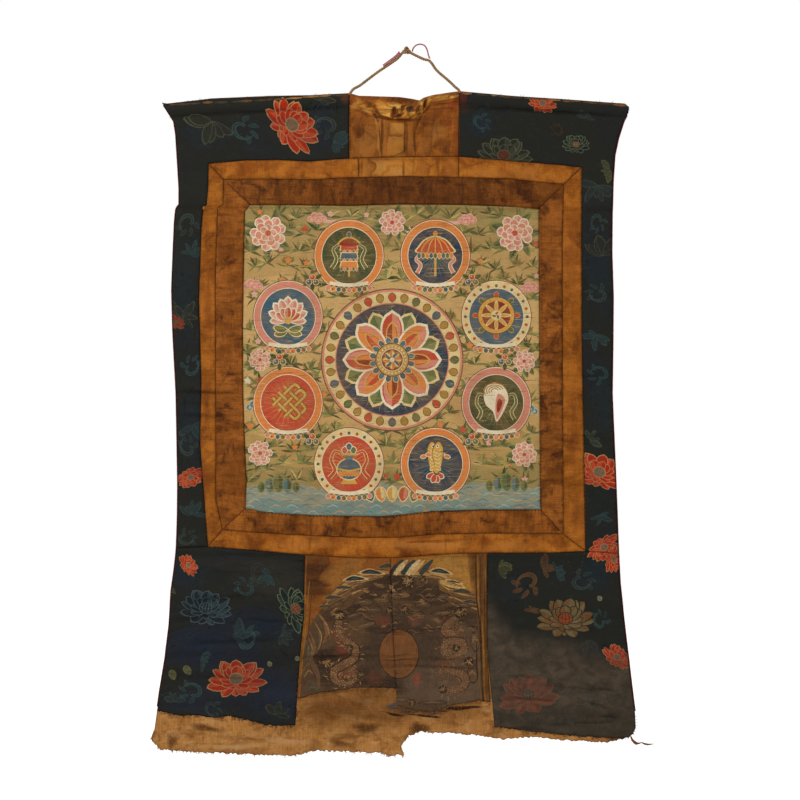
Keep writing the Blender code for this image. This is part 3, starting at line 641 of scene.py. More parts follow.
class Look:
    """One material, built up from its own nodes."""

    def __init__(self, name, roughness=0.85, specular=0.15):
        self.material = bpy.data.materials.new(name)
        self.material.use_nodes = True
        self.nodes, self.links = self.material.node_tree.nodes, self.material.node_tree.links
        self.shader = self.nodes["Principled BSDF"]
        self.shader.inputs["Roughness"].default_value = roughness
        self.shader.inputs["Specular IOR Level"].default_value = specular
        self.place = self.nodes.new("ShaderNodeTexCoord").outputs["Object"]

    def feed(self, value, socket):
        if isinstance(value, bpy.types.NodeSocket):
            self.links.new(value, socket)
        elif isinstance(value, str):
            socket.default_value = (*linear(value), 1)
        else:
            socket.default_value = value

    def attribute(self, name, output="Fac"):
        node = self.nodes.new("ShaderNodeAttribute")
        node.attribute_name = name
        return node.outputs[output]

    def math(self, operation, a, b=0.0, clamp=False):
        node = self.nodes.new("ShaderNodeMath")
        node.operation = operation
        node.use_clamp = clamp
        self.feed(a, node.inputs[0])
        self.feed(b, node.inputs[1])
        return node.outputs[0]

    def mix(self, share, a, b, blend="MIX"):
        node = self.nodes.new("ShaderNodeMix")
        node.data_type = "RGBA"
        node.blend_type = blend
        self.feed(share, node.inputs["Factor"])
        self.feed(a, node.inputs["A"] if node.inputs["A"].type == "RGBA" else node.inputs[6])
        self.feed(b, node.inputs[7])
        return node.outputs[2]

    def noise(self, wide, tall, detail=2.0, rough=0.5, warp=0.0, seed=0.0):
        """Noise in blotches of about wide by tall millimetres, from 0 to 1."""
        mapping = self.nodes.new("ShaderNodeMapping")
        mapping.inputs["Location"].default_value = (seed * 3.7, seed * 1.3, seed * 5.1)
        mapping.inputs["Scale"].default_value = (1 / (wide * MM), 1 / (wide * MM), 1 / (tall * MM))
        self.links.new(self.place, mapping.inputs["Vector"])
        node = self.nodes.new("ShaderNodeTexNoise")
        node.inputs["Scale"].default_value = 1.0
        node.inputs["Detail"].default_value = detail
        node.inputs["Roughness"].default_value = rough
        node.inputs["Distortion"].default_value = warp
        self.links.new(mapping.outputs[0], node.inputs["Vector"])
        return node.outputs["Fac"]

    def spread(self, value, low, high, start=0.0, end=1.0):
        """The value taken from between low and high to between start and end, and held there."""
        node = self.nodes.new("ShaderNodeMapRange")
        node.interpolation_type = "SMOOTHSTEP"
        self.feed(value, node.inputs["Value"])
        node.inputs["From Min"].default_value = low
        node.inputs["From Max"].default_value = high
        node.inputs["To Min"].default_value = start
        node.inputs["To Max"].default_value = end
        return node.outputs[0]

    def threads(self, axis, pitch, wobble=0.6):
        """Rounded threads side by side along an axis of the scroll, from 0 to 1."""
        split = self.nodes.new("ShaderNodeSeparateXYZ")
        self.links.new(self.place, split.inputs[0])
        turns = self.math("MULTIPLY", split.outputs[axis], 2 * math.pi / (pitch * MM))
        drift = self.math("MULTIPLY", self.noise(pitch * 9, pitch * 9, 1.0), wobble * 2 * math.pi)
        wave = self.math("SINE", self.math("ADD", turns, drift))
        return self.math("MULTIPLY_ADD", wave, 0.5)

    def finish(self, colour, height=None, depth=0.3, strength=0.6):
        self.feed(colour, self.shader.inputs["Base Color"])
        if height is not None:
            bump = self.nodes.new("ShaderNodeBump")
            bump.inputs["Strength"].default_value = strength
            bump.inputs["Distance"].default_value = depth * MM
            self.links.new(height, bump.inputs["Height"])
            self.links.new(bump.outputs[0], self.shader.inputs["Normal"])
        return self.material


def weave(look, pitch_x, pitch_z):
    across, down = look.threads("X", pitch_x), look.threads("Z", pitch_z)
    return look.math("MAXIMUM", across, down)


def brocade_look():
    look = Look("lotus_brocade", 0.75, 0.05)
    paint = look.attribute("paint", "Color")
    motif = look.attribute("paint", "Alpha")
    blotches = look.spread(look.noise(90, 70, 3, 0.6, 0.4, 1), 0.35, 0.7)
    colour = look.mix(look.math("MULTIPLY", blotches, 0.35), paint, "2a2620")
    navy = look.spread(look.noise(80, 60, 4, 0.62, 0.4, 2), 0.48, 0.66)
    colour = look.mix(look.math("MULTIPLY", navy, 0.2), colour, "1a2232")
    teal = look.spread(look.noise(16, 9, 4, 0.7, 0.9, 8), 0.54, 0.66)
    colour = look.mix(look.math("MULTIPLY", teal, 0.16), colour, "31423c")
    fibres = look.noise(9, 0.9, 3, 0.6, 0, 3)
    colour = look.mix(look.spread(fibres, 0.25, 0.8, 0.0, 0.22), colour, "2c2c28")
    worn = look.spread(look.noise(5, 1.6, 4, 0.7, 0.3, 4), 0.46, 0.66)
    fade = look.mix(0.7, colour, "20211e")
    colour = look.mix(look.math("MULTIPLY", worn, look.spread(motif, 0.55, 1, 0.8, 0.3)), colour, fade)
    haze_and_shade = look.attribute("haze_and_shade")
    veil = look.mix(look.spread(look.noise(22, 16, 4, 0.65, 0.4, 7), 0.3, 0.7), "57493a", "3e362c")
    thin = look.math(
        "MULTIPLY", look.spread(look.noise(34, 26, 4, 0.66, 0.5, 5), 0.2, 0.6, 0.5, 0.95),
        look.spread(motif, 0.6, 1, 1, 0.35),
    )
    colour = look.mix(look.math("MULTIPLY", haze_and_shade, thin), colour, veil)
    slubs = look.noise(1.2, 5, 3, 0.7, 0.2, 9)
    colour = look.mix(look.spread(slubs, 0.4, 0.8, 0, 0.3), colour, "121210")
    colour = look.mix(look.attribute("shade"), colour, "0a0b0c")
    floats = look.math("MULTIPLY", look.threads("Z", 0.9), motif)
    ground = look.math("MULTIPLY", look.threads("X", 0.55), 0.4)
    height = look.math("ADD", floats, look.math("ADD", ground, look.noise(5, 1.2, 3, 0.6, 0, 6)))
    return look.finish(colour, height, 0.25, 0.5)


def silk_look(name, bright, middle, dark, across, seed, streaky=0.5, blotch=0.5):
    """Old silk whose threads have worn into streaks along X, or along Z where across is true."""
    look = Look(name, 0.66, 0.1)

    def streak(wide, tall, detail, more):
        return look.noise(*((wide, tall) if across else (tall, wide)), detail, 0.55, 0.15, seed + more)

    broad, fine = streak(9, 40, 4, 0), streak(1.1, 14, 4, 1)
    cross = look.noise(*((20, 1.1) if across else (1.1, 20)), 4, 0.6, 0.1, seed + 3)
    colour = look.mix(look.spread(look.noise(46, 40, 4, 0.62, 0.6, seed + 2), 0.34, 0.64), middle, bright)
    colour = look.mix(look.math("MULTIPLY", look.spread(broad, 0.42, 0.72), 0.6 * streaky), colour, dark)
    colour = look.mix(look.spread(fine, 0.38, 0.78, 0, 0.22 + 0.2 * streaky), colour, dark)
    colour = look.mix(look.spread(cross, 0.4, 0.78, 0, 0.2 + 0.3 * streaky), colour, dark)
    colour = look.mix(look.spread(fine, 0.2, 0.42, 0.35, 0), colour, bright)
    stain = look.spread(look.noise(26, 24, 5, 0.68, 0.7, seed + 4), 0.48, 0.7)
    colour = look.mix(look.math("MULTIPLY", stain, blotch), colour, dark)
    grain = look.noise(2.0, 2.0, 3, 0.7, 0.2, seed + 5)
    colour = look.mix(look.spread(grain, 0.3, 0.8, 0, 0.35), colour, dark)
    # The drawn marks: stains, lighter and darker places, and on the heading's roll painted highlights and
    # painted shadow.
    mark = look.math(
        "MULTIPLY", look.attribute("paint", "Alpha"),
        look.spread(look.noise(6, 6, 4, 0.7, 0.6, seed + 6), 0.25, 0.55, 0.4, 1),
    )
    colour = look.mix(mark, colour, look.attribute("paint", "Color"))
    colour = look.mix(look.math("MULTIPLY", look.attribute("haze_and_shade"), 0.8), colour, dark)
    colour = look.mix(look.attribute("shade"), colour, "1a0c05")
    height = look.math("ADD", look.math("MULTIPLY", fine, 2.0), weave(look, 0.7, 0.7))
    return look.finish(colour, look.math("ADD", height, look.math("MULTIPLY", grain, 1.2)), 0.25, 0.6)


def lining_look():
    look = Look("lining_cotton", 0.92, 0.06)
    warp = look.noise(1.5, 26, 4, 0.6, 0.1, 11)
    weft = look.noise(34, 1.5, 4, 0.6, 0.1, 12)
    colour = look.mix(look.spread(warp, 0.2, 0.8), "ba7a38", "dca05c")
    colour = look.mix(look.spread(weft, 0.38, 0.72, 0, 0.4), colour, "9a6230")
    blotches = look.spread(look.noise(30, 24, 5, 0.68, 0.8, 13), 0.45, 0.66)
    colour = look.mix(look.math("MULTIPLY", blotches, 0.6), colour, "7a4a22")
    pale = look.spread(look.noise(22, 14, 4, 0.66, 0.6, 14), 0.5, 0.66)
    colour = look.mix(look.math("MULTIPLY", pale, 0.45), colour, "e2ae74")
    edge = look.spread(look.noise(9, 8, 5, 0.7, 0.9, 17), 0.56, 0.66)
    colour = look.mix(look.math("MULTIPLY", edge, 0.45), colour, "6b3f1b")
    dirt = look.spread(look.noise(10, 4, 4, 0.7, 0.6, 15), 0.62, 0.72)
    colour = look.mix(look.math("MULTIPLY", dirt, 0.7), colour, "3f2512")
    # Painted shade on the lining below the door.
    colour = look.mix(look.attribute("haze_and_shade"), colour, "572e10")
    # The drawn marks: torn scraps and stains, and thin lines of painted shadow under the torn feet.
    scraps_and_painted_shadow = look.math(
        "MULTIPLY", look.spread(look.attribute("paint", "Alpha"), 0.1, 0.7),
        look.spread(look.noise(4, 3, 4, 0.7, 0.5, 16), 0.3, 0.5, 0.5, 1),
    )
    colour = look.mix(scraps_and_painted_shadow, colour, look.attribute("paint", "Color"))
    cloth = weave(look, 1.5, 1.5)
    colour = look.mix(look.math("MULTIPLY", look.math("SUBTRACT", 1.0, cloth), 0.78), colour, "4a2a12")
    colour = look.mix(look.attribute("shade"), colour, "2a160a")
    height = look.math("ADD", cloth, look.math("ADD", warp, weft))
    return look.finish(colour, height, 0.6, 0.8)


def painting_look():
    look = Look("painted_cotton", 0.8, 0.08)
    paint = look.attribute("paint", "Color")
    tone = look.spread(look.noise(22, 20, 4, 0.6, 0.3, 21), 0.3, 0.75, 0, 0.3)
    colour = look.mix(tone, paint, "a8834f")
    grain = look.noise(1.4, 1.4, 3, 0.7, 0, 22)
    colour = look.mix(look.spread(grain, 0.35, 0.8, 0, 0.3), colour, "33240f")
    scuff = look.spread(look.noise(20, 0.8, 4, 0.65, 0.1, 23), 0.56, 0.7)
    patchy = look.spread(look.noise(50, 40, 3, 0.6, 0.2, 24), 0.38, 0.62, 0.15, 0.95)
    colour = look.mix(look.math("MULTIPLY", scuff, patchy), colour, "cfae78")
    dark = look.spread(look.noise(30, 1.3, 3, 0.6, 0.1, 25), 0.58, 0.72)
    colour = look.mix(look.math("MULTIPLY", dark, 0.5), colour, "3f2f1c")
    soot = look.spread(look.noise(60, 50, 4, 0.62, 0.5, 26), 0.42, 0.7)
    colour = look.mix(look.math("MULTIPLY", soot, 0.22), colour, "7a5028")
    flakes = look.spread(look.noise(4, 2.4, 4, 0.7, 0.4, 27), 0.66, 0.72)
    colour = look.mix(look.math("MULTIPLY", flakes, 0.55), colour, "b99f70")
    colour = look.mix(look.attribute("shade"), colour, "24170c")
    height = look.math("ADD", weave(look, 0.8, 0.8), look.math("MULTIPLY", grain, 2.0))
    return look.finish(colour, height, 0.2, 0.5)


def door_look():
    look = Look("dragon_brocade", 0.8, 0.08)
    paint = look.attribute("paint", "Color")
    streak = look.noise(1.5, 30, 4, 0.65, 0.1, 31)
    colour = look.mix(look.spread(streak, 0.3, 0.75, 0, 0.3), paint, "2a1e15")
    level = look.noise(26, 1.3, 4, 0.65, 0.1, 32)
    colour = look.mix(look.spread(level, 0.45, 0.75, 0, 0.35), colour, "6b4e33")
    blotches = look.spread(look.noise(24, 20, 5, 0.66, 0.5, 33), 0.42, 0.7)
    colour = look.mix(look.math("MULTIPLY", blotches, 0.28), colour, "35251a")
    worn = look.spread(look.noise(6, 3, 5, 0.7, 0.5, 34), 0.5, 0.64)
    colour = look.mix(look.math("MULTIPLY", worn, 0.45), colour, "5f4630")
    dots = look.spread(look.noise(1.6, 1.6, 2, 0.6, 0, 35), 0.4, 0.7, 0, 0.3)
    colour = look.mix(dots, colour, "2b1e14")
    colour = look.mix(look.attribute("shade"), colour, "150c07")
    height = look.math("ADD", weave(look, 0.7, 0.9), look.math("MULTIPLY", streak, 1.4))
    return look.finish(colour, height, 0.25, 0.6)


def cord_look(name, light, dark, seed):
    look = Look(name, 0.9, 0.1)
    fibres = look.noise(1.1, 1.1, 4, 0.7, 0.3, seed)
    colour = look.mix(look.spread(fibres, 0.3, 0.75), dark, light)
    soil = look.spread(look.noise(14, 14, 3, 0.6, 0.3, seed + 1), 0.45, 0.7)
    colour = look.mix(look.math("MULTIPLY", soil, 0.5), colour, dark)
    return look.finish(colour, fibres, 0.3, 0.6)


# Stage


FRAME_MIDDLE = (-8.25, -518.25)
FRAME_WIDTH = 1200.0
CAMERA_DISTANCE = 6000.0
FLOOR_DROP = 1600.0


def make_stage():
    scene = bpy.context.scene
    scene.view_settings.view_transform = "Standard"
    world = bpy.data.worlds.new("studio")
    scene.world = world
    world.use_nodes = True
    nodes, links = world.node_tree.nodes, world.node_tree.links
    split = nodes.new("ShaderNodeSeparateXYZ")
    links.new(nodes.new("ShaderNodeTexCoord").outputs["Generated"], split.inputs[0])
    brightness = nodes.new("ShaderNodeMapRange")
    brightness.inputs["From Min"].default_value = -0.2
    brightness.inputs["From Max"].default_value = 0.5
    brightness.inputs["To Min"].default_value = 0.55
    brightness.inputs["To Max"].default_value = 1.0
    links.new(split.outputs["Y"], brightness.inputs["Value"])
    sky = nodes["Background"]
    sky.inputs["Color"].default_value = (1, 1, 1, 1)
    links.new(brightness.outputs[0], sky.inputs["Strength"])

    bpy.ops.mesh.primitive_plane_add(size=30, location=(0, 0, -FLOOR_DROP * MM))
    floor = bpy.context.object
    floor.name = "floor"
    pale = Look("pale_floor", 1.0, 0.0)
    pale.shader.inputs["Emission Color"].default_value = (1, 1, 1, 1)
    depth = pale.nodes.new("ShaderNodeSeparateXYZ")
    pale.links.new(pale.place, depth.inputs[0])
    pale.feed(pale.spread(depth.outputs["Y"], 0.0, 3.0, 0.0, 0.75), pale.shader.inputs["Emission Strength"])
    floor.data.materials.append(pale.finish("c4c2bf"))

    for name, place, size, power in (
        ("key", (-2.2, -2.2, 1.2), 0.9, 78),
        ("fill", (2.6, -3.0, 0.2), 2.0, 8),
    ):
        light = bpy.data.lights.new(name, "AREA")
        light.size = size
        light.energy = power
        lamp = bpy.data.objects.new(name, light)
        lamp.location = place
        aim = Vector((0, 0, -0.5)) - Vector(place)
        lamp.rotation_euler = aim.to_track_quat("-Z", "Y").to_euler()
        scene.collection.objects.link(lamp)

    camera = bpy.data.cameras.new("camera")
    camera.sensor_width = 36
    camera.lens = 36 * CAMERA_DISTANCE / FRAME_WIDTH
    camera.clip_end = 100
    view = bpy.data.objects.new("camera", camera)
    view.location = (FRAME_MIDDLE[0] * MM, -CAMERA_DISTANCE * MM, FRAME_MIDDLE[1] * MM)
    view.rotation_euler = (math.pi / 2, 0, 0)
    scene.collection.objects.link(view)
    scene.camera = view


# The brocade's flowers, as (kind, x, drop, size, turn, flip, palette)
BROCADE_MOTIFS = [
    ("spray", -290, 100, 40, 200, 1, "olive"), ("scroll", -245, 112, 26, 30, 1, "teal"),
    ("scroll", -118, 108, 24, 190, 1, "slate"), ("spray", -128, 70, 24, 30, 1, "olive"),
    ("lotus", -172, 107, 44, 52, 1, "red"), ("spray", -108, 132, 26, 100, 1, "teal"),
    ("scroll", -326, 252, 22, 120, 1, "slate"), ("spray", -322, 300, 24, 20, 1, "teal"),
    ("spray", -334, 396, 32, 40, 1, "olive"), ("lotus", -345, 402, 15, 30, 1, "red_dark"),
    ("scroll", -322, 470, 20, 300, 1, "teal"), ("spray", -318, 555, 26, 170, 1, "teal"),
    ("scroll", -326, 590, 20, 60, -1, "slate"), ("lotus", -322, 633, 21, 160, 1, "red"),
    ("spray", -320, 690, 24, 10, 1, "teal"), ("scroll", -330, 725, 18, 0, 1, "slate"),
    ("lotus", 205, 74, 21, 15, 1, "red"), ("lotus", 147, 153, 38, 4, 1, "olive"),
    ("lotus", 256, 136, 20, 0, -1, "pale"), ("spray", 306, 172, 20, 250, 1, "ochre"),
    ("scroll", 112, 100, 18, 45, 1, "teal"), ("spray", 270, 96, 16, 20, 1, "slate"),
    ("scroll", 228, 115, 14, 250, 1, "brown"), ("spray", 288, 196, 34, 190, 1, "slate"),
    ("spray", 296, 302, 32, 350, 1, "olive"), ("scroll", 288, 250, 18, 100, 1, "teal"),
    ("scroll", 290, 360, 20, 10, -1, "slate"), ("spray", 286, 420, 24, 200, 1, "teal"),
    ("scroll", 292, 480, 20, 200, 1, "teal"), ("spray", 276, 578, 22, 60, 1, "pale"),
    ("lotus", 290, 628, 38, 20, -1, "red"), ("spray", 292, 690, 22, 160, 1, "teal"),
    ("lotus", 297, 738, 25, 150, 1, "red"), ("lotus", 312, 758, 20, 100, -1, "red"),
    ("lotus", -326, 766, 17, 60, 1, "red"), ("scroll", -218, 776, 24, 80, 1, "grey"),
    ("lotus", -300, 832, 38, 10, 1, "blue"), ("spray", -352, 800, 14, 180, 1, "ochre"),
    ("spray", -202, 782, 20, 250, 1, "teal"), ("scroll", -238, 800, 20, 20, -1, "teal"),
    ("lotus", -166, 832, 34, 60, -1, "pale"), ("scroll", -240, 878, 24, 300, 1, "teal"),
    ("spray", -254, 870, 28, 70, 1, "teal"), ("spray", -186, 870, 20, 110, 1, "slate"),
    ("bud", -346, 938, 17, -20, 1, "ochre"), ("bud", -322, 930, 17, -35, 1, "ochre"),
    ("spray", -306, 905, 20, 100, 1, "teal"), ("leaf", -206, 910, 9, 150, 1, "bone"),
    ("leaf", -166, 908, 9, 60, 1, "bone"), ("scroll", -318, 955, 22, 200, 1, "teal"),
    ("lotus", -254, 938, 41, 0, 1, "red"), ("spray", -196, 990, 24, 20, 1, "olive"),
    ("spray", -346, 970, 22, 340, 1, "slate"), ("scroll", -290, 980, 18, 60, 1, "teal"),
    ("spray", 140, 768, 20, 95, 1, "ochre"), ("scroll", 184, 792, 26, 150, 1, "rust"),
    ("spray", 206, 772, 24, 60, 1, "rust"), ("spray", 226, 776, 20, 70, 1, "teal"),
    ("scroll", 262, 790, 22, 0, 1, "slate"), ("spray", 190, 836, 12, 30, 1, "rust"),
    ("lotus", 240, 848, 44, 0, 1, "orange"), ("leaf", 288, 812, 9, 140, 1, "bone"),
    ("scroll", 292, 850, 18, 80, -1, "teal"), ("lotus", 316, 904, 22, 40, 1, "red"),
    ("spray", 270, 880, 22, 170, 1, "grey"), ("spray", 150, 906, 22, 20, 1, "grey"),
    ("lotus", 184, 962, 42, -4, 1, "faded"), ("lotus", 276, 962, 26, 20, 1, "grey"),
    ("spray", 314, 960, 20, 330, 1, "slate"), ("scroll", 240, 1000, 16, 120, 1, "grey"),
]
FAINT_INKS = {
    "teal": ("3a4f4c", "2b3c3b"), "slate": ("424c46", "2c3430"), "olive": ("4f4f39", "2d2e26"),
    "ochre": ("68653f", "45452d"), "brown": ("41301f", "32271c"), "pale": ("525a46", "3a4136"),
    "bone": ("93916d", "79785a"), "rust": ("69492f", "583c26"), "grey": ("3b3d37", "2e302b"),
}
BROCADE_GROUND = "24241f"
BROCADE_MARKS = [
    # x, drop, half width, half height, turn, colour, strength
    (86, 62, 6, 10, 10, "6e2c18", 0.55), (88, 80, 5, 7, 0, "4a2014", 0.45),
    (-90, 62, 6, 10, 0, "6a3a20", 0.5), (-296, 890, 60, 26, 6, "1e2638", 0.6),
    (-240, 860, 50, 22, -10, "1b2434", 0.6), (-190, 960, 40, 26, 0, "222a3c", 0.6),
    (-330, 780, 26, 18, 0, "202a34", 0.4), (-205, 790, 40, 20, 0, "33302a", 0.5),
    (-236, 764, 60, 8, 2, "342f27", 0.5), (-310, 970, 40, 16, 0, "232c3e", 0.4),
    (-128, 106, 18, 26, 0, "1c2836", 0.4), (-300, 120, 30, 20, 0, "1f2a33", 0.3),
    (112, 104, 16, 16, 0, "1c2d3a", 0.4), (282, 780, 20, 24, 0, "1a2a33", 0.4),
    (160, 800, 26, 20, 0, "1c2527", 0.4), (296, 660, 16, 30, 0, "1d2326", 0.3),
    (-330, 340, 18, 60, 0, "1c2c34", 0.3), (-322, 560, 18, 40, 0, "1b2b36", 0.35),
    (292, 330, 18, 50, 0, "1b2b33", 0.3), (296, 520, 16, 40, 0, "1b2c33", 0.35),
    (-254, 940, 52, 44, 0, "20222e", 0.4),
]


def brocade_shapes():
    shapes = washes(BROCADE_MARKS)
    pen = Pen(shapes)
    for n, (kind, x, drop, size, turn, flip, palette) in enumerate(BROCADE_MOTIFS):
        spot = pen.at(x, drop)
        if kind == "lotus":
            spot.kind = 1.0 if palette.startswith("red") else (0.62 if palette == "grey" else 0.85)
            lotus(spot, palette, size, turn, flip, seed=n)
            continue
        spot.kind = 0.55
        edge, fill = FAINT_INKS[palette]
        if kind == "scroll":
            scroll(spot, size, edge, fill, turn, flip)
        elif kind == "spray":
            spray(spot, size, edge, fill, turn, n)
        elif kind == "bud":
            bud(spot, size, edge, fill, turn)
        else:
            spot.petal(turn, size, 0.42, edge, fill)
    return shapes


def worn_fold(shapes, ends, seed):
    """Brown patches along a sleeve's top, where the silk has worn through at the fold."""
    draws = random.Random(seed)
    (x0, drop0), (x1, drop1) = ends
    pen = Pen(shapes)
    x = x0 + 3
    while x < x1 - 14:
        long, deep = draws.uniform(8, 26), draws.uniform(1.6, 3.4)
        line = [
            (x + long * k / 3, drop0 + (drop1 - drop0) * (x + long * k / 3 - x0) / (x1 - x0))
            for k in range(4)
        ]
        line = [(place, drop + deep) for place, drop in line]
        ink = draws.choice(("8a5a2c", "6b4a2a", "a87236", "523e28"))
        pen.line(line, draws.uniform(2.2, 4.6), ink, (0.3, 0.4), kind=0.4)
        x += long * draws.uniform(0.7, 1.3)


def near(shapes, outline):
    """The shapes that reach into the outline's box."""
    low, high = outline.min(axis=0), outline.max(axis=0)
    return [s for s in shapes if (s[0].max(axis=0) > low).all() and (s[0].min(axis=0) < high).all()]


def sleeve(ends):
    (x0, drop0), (x1, drop1) = ends
    slope = (drop1 - drop0) / (x1 - x0)

    def rise(x, drop):
        below = (drop - drop0 - slope * (x - x0)) / SLEEVE_HEIGHT
        tube = np.where((below > 0) & (below < 1), np.sin(math.pi * np.clip(below, 0, 1)), 0)
        return SLEEVE_FORWARD * tube - 0.9 * np.exp(-(((below - 1.04) * SLEEVE_HEIGHT / 1.5) ** 2))

    return rise


def lower_haze(x, drop):
    """The grey-brown stain of the lower right brocade."""
    line = np.interp(x, (123, 165, 195, 252, 330), (815, 866, 874, 882, 890))
    line = line + 7 * waver(x, drop, 24, 24, 41) + 12 * waver(x, drop, 60, 50, 42)
    below = smooth((drop - line + 12) / 48)
    foot = np.interp(x, (123, 200, 260, 330), (1040, 1010, 1000, 990))
    return below * (0.62 + 0.38 * smooth((foot - drop) / 60))


def wrinkled(rise, strength):
    """The rise with the brocade's small level wrinkles on top."""

    def both(x, drop):
        wrinkles = 0.30 * waver(x, drop, 46, 4.5, 71) + 0.22 * waver(x, drop, 20, 2.6, 72)
        wrinkles = wrinkles + 0.2 * waver(x, drop, 7, 12, 73)
        low = 1 + smooth((drop - 740) / 60)
        return strength * low * wrinkles + (0 if rise is None else rise(x, drop))

    return both


def make_brocades(material):
    shapes = brocade_shapes()
    worn_fold(shapes, SLEEVE_LEFT_TOP, 91)
    worn_fold(shapes, SLEEVE_RIGHT_TOP, 92)
    table = {
        # node: flat width and length, torn below this drop, rise, haze
        "brocade_upper_left": ((0.095, 0.851), 2000, sleeve(SLEEVE_LEFT_TOP), None),
        "brocade_upper_right": ((0.1, 0.84), 2000, sleeve(SLEEVE_RIGHT_TOP), None),
        "brocade_lower_left": (None, 975, None, None),
        "brocade_lower_right": (None, 1004, None, lower_haze),
    }
    for n, (node, (flat, torn_below, rise, haze_and_shade)) in enumerate(table.items()):
        outline = filled_in(grown(outline_of(node), 0.22), 5.0)
        if torn_below < 1100:
            outline = torn(outline, lambda x, drop: drop > torn_below and -368 < x < 330, 50 + n, 1.3)
        make_cloth(
            node + "_sheet", node, material, outline, near(shapes, outline), BROCADE_GROUND,
            rise=wrinkled(rise, 0.8), haze_and_shade=haze_and_shade,
        )


def inner_top_darker_middle(x, drop):
    """The top of the inner frame is darker in the middle."""
    return 0.35 + 0.35 * smooth((170 - np.abs(x - 20)) / 120)


def make_frames():
    gold_across = silk_look("gold_silk_across", "c47624", "955010", "4c2004", True, 51, 0.4, 0.6)
    gold_along = silk_look("gold_silk_along", "bb6f22", "90500f", "4c2004", False, 52, 0.4, 0.6)
    brown_across = silk_look("brown_silk_across", "b06622", "82460c", "2a0f03", True, 53, 0.8, 0.8)
    brown_along = silk_look("brown_silk_along", "b06624", "864a12", "2e1104", False, 54, 0.75, 0.8)
    for side in ("top_left", "top_middle", "top_right", "bottom", "right", "left"):
        node = "outer_strip_" + side
        look = gold_along if side in ("left", "right") else gold_across
        make_cloth(
            node + "_sheet", node, look, shapes=near(marks(GOLD_STAINS_AND_PAINTED_LIGHT), outline_of(node)),
            ground="8e4c17", step=(4.5, 3.6),
        )
    for side in ("top", "bottom", "right", "left"):
        node = "inner_strip_" + side
        look = brown_along if side in ("left", "right") else brown_across
        make_cloth(
            node + "_sheet", node, look, ground="683311", step=(4.5, 3.6), edge=0.7, dark=0.3,
            haze_and_shade=inner_top_darker_middle if side == "top" else None,
        )
    return silk_look("heading_silk", "b66a20", "84460e", "3c1804", True, 57, 0.7, 0.8)


